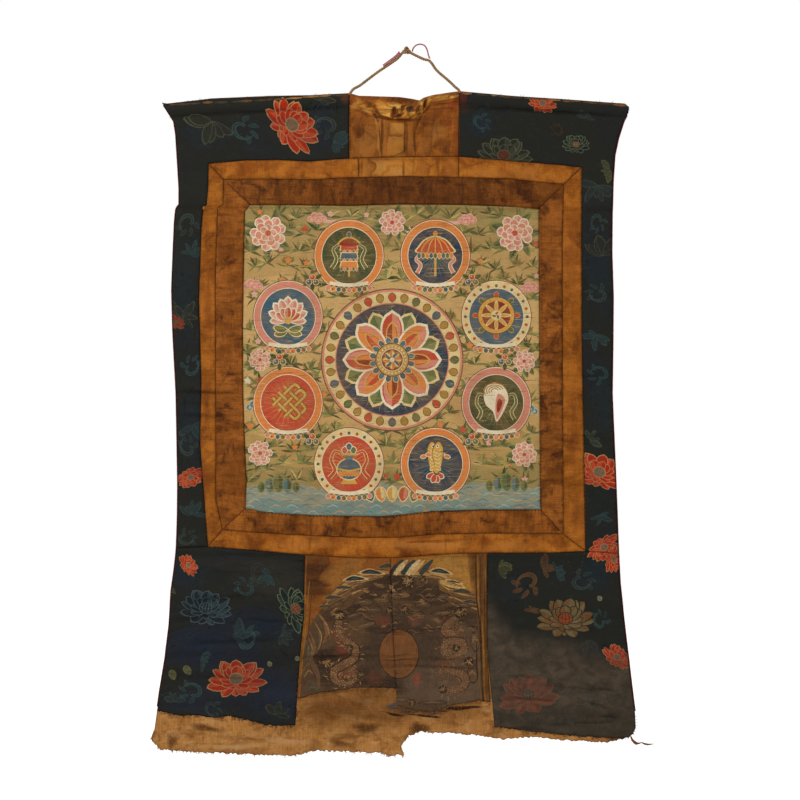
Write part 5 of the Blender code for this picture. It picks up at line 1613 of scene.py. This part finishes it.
GLOOM = [
    # x, drop, half width, half height, turn, colour, strength
    (-20, 790, 26, 10, -10, "33251c", 0.9), (20, 806, 30, 10, 0, "34261c", 0.8),
    (-74, 822, 22, 9, -20, "36281d", 0.85), (46, 812, 24, 10, 10, "37291e", 0.85),
    (66, 806, 14, 7, 10, "30241b", 0.8), (-44, 808, 24, 9, -14, "3b2b1f", 0.8),
    (-98, 842, 20, 12, 0, "3a2d24", 0.8), (80, 840, 24, 12, 0, "3b2d23", 0.7),
    (-124, 906, 12, 12, 0, "2c221c", 0.9), (-100, 902, 22, 8, 10, "2d221b", 0.85),
    (-116, 930, 14, 16, 0, "382b22", 0.8), (-64, 934, 22, 12, 0, "33271f", 0.85),
    (-20, 944, 26, 10, 0, "32271f", 0.8), (-14, 848, 34, 10, 0, "443429", 0.8),
    (-48, 886, 20, 26, 0, "46372b", 0.8), (32, 890, 16, 36, 0, "44362b", 0.7),
    (-20, 862, 60, 6, 0, "3a2d24", 0.6), (70, 876, 30, 8, 0, "4a392b", 0.6),
    (40, 940, 40, 24, 0, "655140", 0.7), (88, 940, 34, 50, 0, "67533f", 0.75),
    (-76, 868, 16, 14, 0, "6a4d34", 0.5), (-34, 850, 8, 7, 10, "6b3a28", 0.9),
    (14, 848, 8, 7, -10, "6f4030", 0.8), (-46, 935, 9, 8, 0, "5b3526", 0.8),
    (17, 936, 5, 7, 10, "8a4a34", 0.9), (-100, 872, 9, 8, 0, "7a3f2a", 0.6),
    (-94, 893, 9, 9, 0, "74382a", 0.6), (-103, 934, 8, 9, 0, "7a3c2a", 0.6),
    (-82, 926, 8, 8, 0, "7d4a2e", 0.6), (60, 916, 9, 8, 0, "74482e", 0.6),
    (-136, 780, 20, 26, 0, "5a2f10", 0.9), (-128, 772, 24, 6, 2, "4a250c", 0.7),
    (-134, 792, 20, 5, 0, "46230b", 0.7), (-134, 806, 18, 4, 0, "4f290e", 0.6),
    (60, 764, 40, 10, 6, "b07a32", 0.7), (84, 778, 30, 22, 24, "b9823a", 1.0),
    (-92, 776, 26, 14, -30, "a86d2c", 0.8), (104, 770, 7, 26, 0, "55300f", 0.7),
    (-156, 870, 3, 70, 4, "b37430", 0.8),
]
RIGHT_EDGE = [
    # points, width, colour
    ([(115, 750), (114, 830), (117, 900), (121, 985)], 9, "70451c"),
    ([(112, 752), (112, 800), (113, 850)], 3, "5a3411"),
    ([(105.5, 752), (106, 800), (107, 822), (111, 850), (113, 900), (116, 975)], 2.2, "3c210d"),
    ([(108, 750), (108.5, 800), (110, 822), (115, 860), (117, 900), (118, 950), (121, 975)], 3, "94652c"),
    ([(112, 830), (113.5, 870), (114, 930), (118, 974)], 1.6, "38200d"),
    ([(107, 880), (106.5, 910), (108, 935)], 1.6, "2e1c10"),
    ([(122, 752), (121.5, 820), (122, 900), (124.5, 975)], 2.4, "86571f"),
    ([(119, 760), (118.5, 830), (120, 900)], 1.4, "4a2a10"),
    ([(110, 900), (111, 940), (114, 978)], 1.2, "8a5a2c"),
    ([(102, 980), (112, 978), (122, 982)], 2, "33200f"),
]
CLOUDS = [
    # x, drop, half width, half height, turn, colour
    (-64, 822, 14, 6.5, 0, "5f4a33"), (-36, 818, 12, 5, 4, "6a5035"), (-51, 834, 15, 5.5, -4, "5c4834"),
    (-54, 807, 12, 3, 20, "93703f"), (26, 788, 9, 5, 30, "735336"), (48, 815, 17, 5, -14, "5e4735"),
    (24, 826, 14, 5, 0, "5b4535"), (-9, 811, 15, 5, 0, "78583a"), (60, 838, 20, 6, 0, "564230"),
    (-40, 796, 9, 4, 20, "7a583a"), (-78, 842, 12, 5, -10, "54402f"), (2, 826, 12, 4, 0, "64492f"),
    (-104, 826, 11, 5, -20, "604730"), (86, 826, 12, 4, 10, "5a4431"), (74, 852, 12, 3, 0, "614a35"),
    (8, 838, 18, 4, 0, "4f3e30"), (-60, 856, 14, 4, -14, "6b5036"), (104, 880, 6, 20, 0, "664d37"),
    (100, 930, 8, 16, 0, "624b36"), (-10, 968, 16, 4, 0, "5c4838"), (40, 972, 20, 4, 0, "554434"),
]
STARS = [
    (5, 790, 10), (26, 787, 6.5), (-20, 801, 9), (-1, 832, 8), (-24, 834, 7), (-99, 841, 10), (81, 837, 11),
    (-119, 912, 10), (95, 910, 9), (56, 952, 8), (76, 890, 7), (-84, 890, 7), (10, 972, 7), (-68, 930, 7),
]
DRAGONS = [
    # points of the body, and 1 for the brighter one
    (
        [
            (-99, 846), (-101, 860), (-98, 872), (-84, 882), (-75, 892), (-78, 906), (-94, 916),
            (-108, 926), (-104, 940), (-86, 944), (-75, 934), (-82, 922),
        ],
        1,
    ),
    ([(80, 842), (62, 856), (60, 866), (72, 868), (86, 862)], 0),
    ([(62, 900), (56, 890), (66, 880), (84, 882), (88, 892), (78, 900), (62, 906)], 0),
    ([(46, 932), (56, 922), (72, 926), (88, 932), (88, 946), (72, 954), (52, 950)], 0),
]


def dragon(pen, points, ink, shade, draws):
    pen.line(points, 15, shade, (0.5, 0.4))
    pen.line(points, 12, "74523a", (0.5, 0.3))
    middle = curved(points, 3.2, False)
    for n in range(1, len(middle) - 1):
        way = math.degrees(math.atan2(*(middle[n + 1] - middle[n - 1])))
        for aside in (-4.2, -1.4, 1.4, 4.2):
            scale = pen.at(middle[n][0], middle[n][1], turn=180 - way).at(
                aside + (0.7 if n % 2 else -0.7), 0,
            )
            scale.leaf(draws.uniform(-25, 25), 2.8, 0.34, draws.choice((ink, "7c5838", "9a7048")))
        for aside in (-8, 8):
            if draws.random() < 0.7:
                fringe = pen.at(middle[n][0], middle[n][1], turn=180 - way).at(aside, 0)
                fringe.leaf(
                    math.copysign(120, aside) + draws.uniform(-30, 30), draws.uniform(4, 8), 0.14,
                    draws.choice((ink, "5e4630", "7a3f2a")), 0.4,
                )


def claw(pen, size, ink, draws):
    for k in range(9):
        pen.leaf(
            40 * k + draws.uniform(-22, 22), size * draws.uniform(0.45, 1.05), 0.09, ink,
            draws.uniform(-0.9, 0.9),
        )
    for _ in range(5):
        toe = pen.at(draws.uniform(-size, size), draws.uniform(-0.7 * size, 0.7 * size))
        toe.leaf(draws.uniform(0, 360), size * 0.5, 0.16, ink, draws.uniform(-0.9, 0.9))


def door_shapes():
    shapes = []
    draws = random.Random(11)
    pen = Pen(shapes)
    pen.fill([(112, 748), (124, 748), (132, 1002), (112, 1002)], "7c4f20", 0.0)
    field = [
        (-158, 962), (-150, 880), (-134, 842), (-114, 822), (-88, 806), (-60, 792), (-28, 782), (5, 780),
        (41, 784), (62, 800), (94, 814), (113, 830), (118, 880), (122, 1000), (-158, 1000),
    ]
    pen.blob(field, "59432f", kind=0.0)
    shapes += washes(GLOOM)
    for points, width, ink in BANDS:
        pen.line(points, width * 1.7, "4c3622", (0.45, 0.45))
        pen.line(points, width * 1.45, ink, (0.4, 0.4))
        pen.at(0, -0.3 * width).line(
            points, 0.3 * width, "b98d52" if width > 5 else ink, (0.1, 0.1), kind=0.7,
        )
        pen.at(0, 0.35 * width).line(points, 0.3 * width, "5f432a", (0.1, 0.1), kind=0.7)
    for corners, bright in ARCH:
        middle = np.mean(corners, axis=0)
        for grow, ink in (
            (1.5, "dcb478" if bright else "8a6a45"), (1.12, "24302e" if bright else "3a3a32"),
            (0.5, "35504d" if bright else "434a40"),
        ):
            pen.blob(
                [tuple(middle + (np.array(corner) - middle) * (grow, grow * 0.95)) for corner in corners],
                ink,
            )
    for k, (left, ink) in enumerate(
        ((-21, "24302e"), (-14, "dfb87c"), (-3, "2b4341"), (5, "e4c088"), (12, "d2a868"), (24, "2b4341"))
    ):
        pen.line(
            [(left - 2, 780), (left + 6, 770), (left + 17, 758)], 8.5 if k != 4 else 6, ink, (0.7, 0.3),
        )
    for x, drop, wide, tall, turn, ink in CLOUDS:
        puff = pen.at(x, drop, turn=turn)
        ring = [
            (-1, 0.1), (-0.6, -0.6), (0, -0.5), (0.5, -0.9), (1.0, -0.2), (0.8, 0.5), (0.1, 0.7),
            (-0.5, 0.5),
        ]
        puff.blob([(1.12 * wide * a, 1.2 * tall * b) for a, b in ring], "3a2c21", kind=0.6)
        puff.blob([(wide * a, tall * b) for a, b in ring], ink, kind=0.7)
        puff.line(
            [(-0.6 * wide, 0.1 * tall), (0, -0.3 * tall), (0.6 * wide, 0)], 0.3 * tall, "8a6a44",
            (0.2, 0.2), kind=0.6,
        )
    for _ in range(150):
        x, drop = draws.uniform(-104, 100), draws.uniform(786, 866)
        if drop > 792 + 0.0055 * (x + 4) ** 2:
            wisp = pen.at(x, drop, turn=draws.uniform(-30, 30))
            wide = draws.uniform(4, 11)
            ink = draws.choice(("7c5a3a", "6a4e34", "8d6740", "33261c", "3b2c20", "5b4a38"))
            wisp.line(
                [(-wide, 1), (-0.3 * wide, -1.5), (0.4 * wide, 0.6), (wide, -1)], draws.uniform(1.4, 3.2),
                ink, (0.1, 0.2), kind=0.6,
            )
    for points, width, ink in SIDE_STROKES:
        pen.line(points, width * 1.3, "3c2c1e", (0.3, 0.3))
        pen.line(points, width, ink, (0.3, 0.3))
    for points, bright in DRAGONS:
        dragon(pen, points, "ac8052" if bright else "8c6843", "2c2119" if bright else "3c2e25", draws)
    for x, drop, size in STARS:
        pen.disc(x, drop, size * 0.8, "30261e", kind=0.7)
        claw(pen.at(x, drop), size * 0.9, "ae8454" if size >= 9 else "8c6a45", draws)
    pen.disc(-10, 899, 30.5, "33251b", 1.24)
    pen.disc(-10, 899, 29, "7f4f2a", 1.24)
    pen.disc(-10, 915, 19, "754a29", 0.8)
    # Lines across the disc: the dark, light and dark ones at the fold near drop 901 are painted shade and a
    # painted highlight of the crease.
    for drop, ink in ((900, "33200f"), (904, "a06f3e"), (907, "3a2513"), (920, "8f6038")):
        pen.line([(-36, drop + 1), (-20, drop + 2), (0, drop), (16, drop + 1)], 1.0, ink, (0.2, 0.2))
    for x in (-156, -151):
        pen.line(
            [(x + 12, 790), (x + 6, 860), (x, 930)], 2.2, "a06c2c" if x == -156 else "5f3c18", (0.5, 0.3),
        )
    for points, width, ink in RIGHT_EDGE:
        pen.line(points, width, ink, (0.6, 0.6))
    return shapes


def make_door(material):
    def pleat(x, drop):
        seam = np.interp(drop, [row[0] for row in PLEAT_SEAM], [row[1] for row in PLEAT_SEAM])
        share = (seam - x) / PLEAT_WIDTH
        ridge = np.abs(np.sin(math.pi * PLEAT_RIDGES * np.clip(share, 0, 1)))
        return PLEAT_FORWARD * ridge

    shapes = door_shapes()
    for n, (node, rise) in enumerate((("door_left", None), ("door_right", pleat))):
        outline = torn(
            filled_in(grown(outline_of(node), 0.22), 5.0), lambda x, drop: drop > 945 and -148 < x < 112,
            70 + n, 1.4,
        )
        make_cloth(
            node + "_sheet", node, material, outline, near(shapes, outline), "98561a",
            step=(4.0, 3.4), rise=wrinkled(rise, 1.0), dark=0.35,
        )


def lining_painted_shade(x, drop):
    """Painted shade under the door: the lining is darker below the door than at its foot and its left."""
    foot = np.interp(x, (-30, 20), (1032, 1016))
    under = 0.75 * smooth((foot - drop) / 44) * smooth((drop - 900) / 40)
    under = under * smooth((x + 190) / 60) * smooth((140 - x) / 60)
    return under * (0.82 + 0.18 * waver(x, drop, 30, 20, 83))


LINING_MARKS = [
    # Torn scraps and stains on the lining, and thin dark lines of painted shadow under the torn feet of the
    # brocade and the door: x, drop, half width, half height, turn, colour, strength
    (-12, 978, 14, 5, 6, "54504a", 0.9), (6, 984, 12, 5, -10, "4a443c", 0.9),
    (24, 982, 13, 5, 8, "7a6650", 0.9), (40, 986, 14, 5, 4, "5a4a3a", 0.9),
    (58, 982, 10, 4, -4, "3a2e26", 0.9), (84, 980, 26, 2.6, -3, "241a12", 0.95),
    (-16, 990, 12, 2, 10, "241a12", 0.8), (30, 992, 24, 1.6, 6, "2b1e14", 0.9),
    (14, 974, 20, 1.4, -6, "2b1e14", 0.9), (-140, 948, 10, 4, -20, "8a6a44", 0.8),
    (-118, 950, 12, 2.4, -8, "1f1610", 0.9), (-76, 946, 30, 1.8, -2, "241a12", 0.9),
    (-330, 980, 16, 3, 6, "9a938a", 0.7), (-342, 984, 10, 1.6, 20, "2b1e14", 0.9),
    (-280, 984, 22, 2, 6, "2b1e14", 0.8), (-236, 988, 16, 3.4, -12, "3a2918", 0.8),
    (-190, 996, 26, 2.2, 8, "1c140e", 0.9), (-300, 1010, 24, 5, 10, "5e3c1e", 0.6),
    (-350, 1030, 8, 10, 0, "6b4424", 0.6), (-60, 1010, 20, 8, 0, "57351a", 0.6),
    (-98, 1034, 18, 6, 10, "5e3a1c", 0.5), (20, 1010, 16, 8, 0, "4f2f16", 0.6),
    (-180, 1030, 40, 5, 4, "d0a06a", 0.5), (-260, 1038, 46, 4, 0, "d4a670", 0.5),
]


def make_lining():
    outline = torn(filled_in(outline_of("lining_cloth"), 5.0), lambda x, drop: drop > 1012, 81, 1.8)
    shapes = marks(LINING_MARKS)
    make_cloth(
        "lining_cloth_sheet", "lining_cloth", lining_look(), outline, shapes, "8a5a2e",
        step=(8.0, 5.0), lift=0.0, edge=0.0, thickness=1.0, closed=True, haze_and_shade=lining_painted_shade,
    )
    return outline


def fray(name, outline, is_torn, count, reach, lift, material, seed, spread=0.9):
    """Loose threads from a torn edge. lift is how far they lie in front of the lining's front."""
    draws = random.Random(seed)
    edge = [(x, drop) for x, drop in filled_in(outline, 1.2) if is_torn(x, drop)]
    paths, lifts, radii = [], [], []
    for _ in range(count):
        x, drop = draws.choice(edge)
        length, way = reach * draws.uniform(0.3, 1.0) ** 1.5, draws.gauss(0, spread)
        curl = draws.uniform(-0.5, 0.5)
        for _ in range(5):
            paths.append((x, drop))
            x, drop = x + length / 4 * math.sin(way), drop + length / 4 * math.cos(way)
            way += curl
        lifts += [lift + draws.uniform(0.1, 0.6)] * 5
        radii.append(draws.uniform(0.14, 0.28) * MM)
    xs, drops = np.array(paths).T
    laid = np.stack((xs, -(drape(xs, drops) + lifts), -drops), axis=1) * MM
    tubes = [(laid[5 * k : 5 * k + 5], np.full(5, radius), 4) for k, radius in enumerate(radii)]
    threads = tubes_object(name, tubes, material)
    return threads


def sweep(path, radii, sides=8):
    """The corners and faces of a round tube along a path."""
    path = np.asarray(path, float)
    ahead = np.gradient(path, axis=0)
    ahead /= np.maximum(1e-12, np.linalg.norm(ahead, axis=1))[:, None]
    aside = np.cross(ahead[0], (0.3, 0.9, 0.2))
    aside /= np.linalg.norm(aside)
    places, rings = [], []
    for n, (place, direction) in enumerate(zip(path, ahead)):
        aside = aside - direction * float(aside @ direction)
        aside /= np.linalg.norm(aside)
        third = np.cross(direction, aside)
        for k in range(sides):
            angle = 2 * math.pi * k / sides
            places.append(place + radii[n] * (math.cos(angle) * aside + math.sin(angle) * third))
    for n in range(len(path) - 1):
        for k in range(sides):
            a, b = n * sides + k, n * sides + (k + 1) % sides
            rings.append((a, b, b + sides, a + sides))
    rings.append(tuple(range(sides))[::-1])
    last = (len(path) - 1) * sides
    rings.append(tuple(range(last, last + sides)))
    return places, rings


def tubes_object(name, tubes, material):
    """One piece from several tubes, each (path, radii, sides), in metres."""
    places, rings = [], []
    for path, radii, sides in tubes:
        more, faces = sweep(path, radii, sides)
        rings += [tuple(k + len(places) for k in face) for face in faces]
        places += more
    mesh = bpy.data.meshes.new(name)
    mesh.from_pydata([tuple(place) for place in places], [], rings)
    mesh.shade_smooth()
    mesh.materials.append(material)
    obj = bpy.data.objects.new(name, mesh)
    bpy.context.scene.collection.objects.link(obj)
    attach(obj, ROOT)
    return obj


def route(points, step):
    """A smooth route through (x, height) places, in metres, just in front of the scroll."""
    flat = curved(points, step, False)
    return np.stack((flat[:, 0], np.full(len(flat), -CORD_FORWARD), flat[:, 1]), axis=1) * MM


def twisted(path, radius, strands, pitch, phase=0.0, sides=7):
    """Strands wound round a path, each as (path, radii, sides)."""
    path = np.asarray(path, float)
    steps = np.linalg.norm(np.diff(path, axis=0), axis=1)
    along = np.concatenate(([0], np.cumsum(steps)))
    fine = np.linspace(0, along[-1], int(along[-1] / (pitch / 9)) + 2)
    middle = np.stack([np.interp(fine, along, path[:, k]) for k in range(3)], axis=1)
    ahead = np.gradient(middle, axis=0)
    ahead /= np.linalg.norm(ahead, axis=1)[:, None]
    aside = np.cross(ahead, (0, 1, 0))
    aside /= np.linalg.norm(aside, axis=1)[:, None]
    third = np.cross(ahead, aside)
    made = []
    for k in range(strands):
        angle = phase + 2 * math.pi * (fine / pitch + k / strands)
        swing = radius * (0.42 if strands == 2 else 0.5)
        strand = middle + swing * (np.cos(angle)[:, None] * aside + np.sin(angle)[:, None] * third)
        ends = np.minimum(1.0, 0.75 + np.minimum(fine, fine[-1] - fine) / (2 * radius))
        made.append((strand, radius * (0.66 if strands == 2 else 0.56) * ends, sides))
    return made


def make_hanger():
    fibre = cord_look("cord_fibre", "b08a62", "73532f", 91)
    pink = cord_look("red_thread_fibre", "c86c6c", "8e4046", 92)
    radius = CORD_DIAMETER / 2 * MM
    left = route([(-84.5, -61), *CORD_LEFT, (-2.5, 4.0)], 2.0)
    right = route([(5.5, 3.6), *CORD_RIGHT, (82, -58.5)], 2.0)
    loop, end = route(THREAD_LOOP, 1.2), route(THREAD_END, 1.2)
    end[:, 1] -= 1.6 * MM

    turns = np.linspace(0, 2 * math.pi, 60)
    knot_path = np.stack((
        1.5 + 1.9 * np.sin(turns) + 3.4 * np.sin(2 * turns),
        -CORD_FORWARD - 2.0 * np.sin(3 * turns),
        5.4 - 1.5 * np.cos(turns) + 2.7 * np.cos(2 * turns),
    ), axis=1) * MM
    nub = np.array([(-6.5, -1.5, 0.8), (-3.5, -2.4, 3.6), (0.4, -3.0, 7.6), (1.6, -1.6, 11.6)]) * MM
    knot = tubes_object(
        "knot_turns",
        twisted(knot_path, radius, 2, 6.0 * MM) + twisted(nub, radius * 0.85, 2, 6.0 * MM),
        fibre,
    )
    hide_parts("cord_knot")
    looped = tubes_object("red_thread_loop_strand", twisted(loop, 1.1 * MM, 2, 3.0 * MM, sides=5), pink)
    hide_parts("red_thread_loop")
    hanging = tubes_object(
        "red_thread_end_strand",
        twisted(end + (-0.4 * MM, 0, 0.9 * MM), 0.95 * MM, 2, 2.8 * MM, sides=5)
        + twisted(end + (0.4 * MM, 0, -0.9 * MM), 0.95 * MM, 2, 2.8 * MM, 1.0, sides=5),
        pink,
    )
    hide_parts("red_thread_end")
    for name, path, node, pieces in (
        ("hanging_cord_left_strands", left, "hanging_cord_left", (knot, looped, hanging)),
        ("hanging_cord_right_strands", right[::-1], "hanging_cord_right", ()),
    ):
        cord = tubes_object(name, twisted(path, radius, 2, 6.4 * MM), fibre)
        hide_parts(node)


FRAYED_FEET = [
    # node, threads, their reach, frayed below this drop
    ("brocade_lower_left", 90, 9, 980), ("brocade_lower_right", 90, 5, 1006),
    ("door_left", 130, 8, 945), ("door_right", 130, 10, 955),
]
FRAYED_HEMS = [
    # node, frayed above this drop, frayed right of this x
    ("brocade_upper_right", 82, 130), ("brocade_upper_left", 80, -400),
]


def make_loose_threads(lining_outline):
    """Threads from the torn feet of the lining, the brocade and the door, and from the top hems."""
    straw = cord_look("straw_threads", "a8743c", "6b4422", 97)
    dark = cord_look("dark_threads", "2c2824", "151413", 98)
    fray(
        "lining_foot_threads", lining_outline, lambda x, drop: drop > 1014 and x < 60,
        count=300, reach=5, lift=0.0, material=straw, seed=101,
    )
    for n, (node, count, reach, torn_below) in enumerate(FRAYED_FEET):
        is_brocade = node.startswith("brocade")
        fray(
            node + "_threads", outline_of(node), lambda x, drop: drop > torn_below,
            count=count, reach=reach, lift=0.6, material=dark if is_brocade else straw,
            seed=110 + n,
        )
    for node, frayed_above, right_of in FRAYED_HEMS:
        fray(
            node + "_hem_threads", outline_of(node),
            lambda x, drop: drop < frayed_above and x > right_of and abs(x) < 372,
            count=90, reach=3.5, lift=1.2, material=cord_look(node + "_hem_thread", "a0683c", "5c2f18", 120),
            seed=121, spread=1.6,
        )


def edge_x(outline, drop, side):
    """Where an outline's left or right side is at a drop."""
    ahead = np.roll(outline, -1, axis=0)
    crossing = (outline[:, 1] - drop) * (ahead[:, 1] - drop) < 0
    a, b = outline[crossing], ahead[crossing]
    xs = a[:, 0] + (drop - a[:, 1]) / (b[:, 1] - a[:, 1]) * (b[:, 0] - a[:, 0])
    return float(xs.min() if side < 0 else xs.max())


def make_bindings():
    red = cord_look("binding_fibre", "7a1f18", "2c0d0a", 95)
    outline = outline_of("lining_cloth")
    for node, side in (("side_binding_left", -1), ("side_binding_right", 1)):
        low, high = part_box(node)
        drops = np.arange(-high[2] / MM + 0.5, -low[2] / MM - 0.5, 4.0)
        xs = np.array([edge_x(outline, drop, side) + side * 0.5 for drop in drops])
        heights = drape(xs, drops) + GAP
        path = np.stack((xs, -heights, -drops), axis=1) * MM
        cord = tubes_object(node + "_strands", twisted(path, 0.95 * MM, 2, 3.6 * MM, sides=5), red)
        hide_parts(node)


STITCH_LINES = [
    # points, pitch, length, lift, 1 for pale thread
    ([(-1, 100), (0, 120), (-2, 146)], 3.4, 1.8, 2.8, 0),
    ([(-35, 100), (-36, 152), (-12, 153), (-2, 146)], 3.2, 1.8, 2.8, 1),
    ([(80, 60), (82, 154)], 4.0, 2.0, 2.0, 1), ([(-84, 62), (-82, 156)], 4.0, 2.0, 2.0, 0),
    ([(-82, 156), (-20, 158), (80, 156)], 3.4, 2.0, 2.0, 1),
    ([(82, 79), (200, 87), (326, 94)], 4.6, 2.2, 2.0, 0),
    ([(-355, 95), (-220, 87), (-86, 80)], 4.6, 2.2, 2.0, 0),
]


def make_stitches(dark, pale):
    """Running stitches along the seams, whip stitches at the lower right corner."""
    tubes = {0: [], 1: []}

    def sew(points, pitch, length, lift, tone, slant=0.0):
        line = curved(points, 2.0, False)
        along = np.concatenate(([0], np.cumsum(np.linalg.norm(np.diff(line, axis=0), axis=1))))
        at = np.arange(1.0, along[-1] - length, pitch)[:, None] + length * np.linspace(0, 1, 4)
        xs, drops = np.interp(at, along, line[:, 0]), np.interp(at, along, line[:, 1])
        ahead_x = (xs[:, 3] - xs[:, 0])[:, None] / length
        ahead_drop = (drops[:, 3] - drops[:, 0])[:, None] / length
        aside = slant * np.linspace(-1, 1, 4)
        xs, drops = xs - ahead_drop * aside, drops + ahead_x * aside
        out = drape(xs.ravel(), drops.ravel()).reshape(xs.shape) + lift + (-0.25, 0.15, 0.15, -0.25)
        for stitch in np.stack((xs, -out, -drops), axis=2) * MM:
            tubes[tone].append((stitch, np.full(4, 0.26 * MM), 4))

    for line in STITCH_LINES:
        sew(*line)
    for out in (0.6, 1.6):
        ring = grown(outline_of("painted_canvas"), out)
        sew([*ring, ring[0]], pitch=5.2, length=2.4, lift=1.35, tone=0)
    for node in ("outer_strip_top_left", "outer_strip_right", "outer_strip_bottom", "outer_strip_left"):
        ring = grown(outline_of(node), -1.2)
        sew([*ring, ring[0]], pitch=6.0, length=2.2, lift=1.45, tone=1)
    corner = [(p[0], p[1]) for p in outline_of("brocade_lower_right") if p[0] > 270 and p[1] > 985]
    if len(corner) > 1:
        sew(corner, pitch=4.5, length=1.0, lift=1.4, tone=0, slant=3.0)
    for tone, material, name in ((0, dark, "dark_stitches"), (1, pale, "pale_stitches")):
        stitches = tubes_object(name, tubes[tone], material)


def make_shred(material):
    places = np.array([(x, -drape(x, drop) - 0.2, -drop) for x, drop, _ in SHRED], float)
    radii = np.array([radius for _, _, radius in SHRED])
    fine = np.linspace(0, len(SHRED) - 1, 60)
    path = np.stack([np.interp(fine, range(len(SHRED)), places[:, k]) for k in range(3)], axis=1) * MM
    size = np.interp(fine, range(len(SHRED)), radii) * (1 + 0.12 * np.sin(fine * 9)) * MM * 0.8
    shred = tubes_object("corner_shred_strip", [(path, size, 10)], material)
    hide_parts("corner_shred")


def main():
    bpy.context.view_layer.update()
    make_stage()
    make_hanger()
    make_brocades(brocade_look())
    gold = make_frames()
    make_heading(gold)
    make_painting()
    make_door(door_look())
    outline = make_lining()
    make_loose_threads(outline)
    make_stitches(
        cord_look("sewing_thread", "3a2413", "170d07", 99),
        cord_look("pale_sewing_thread", "9a6a36", "6b4420", 100),
    )
    make_bindings()
    make_shred(cord_look("shred_fibre", "9a5c3c", "4a2416", 96))


main()
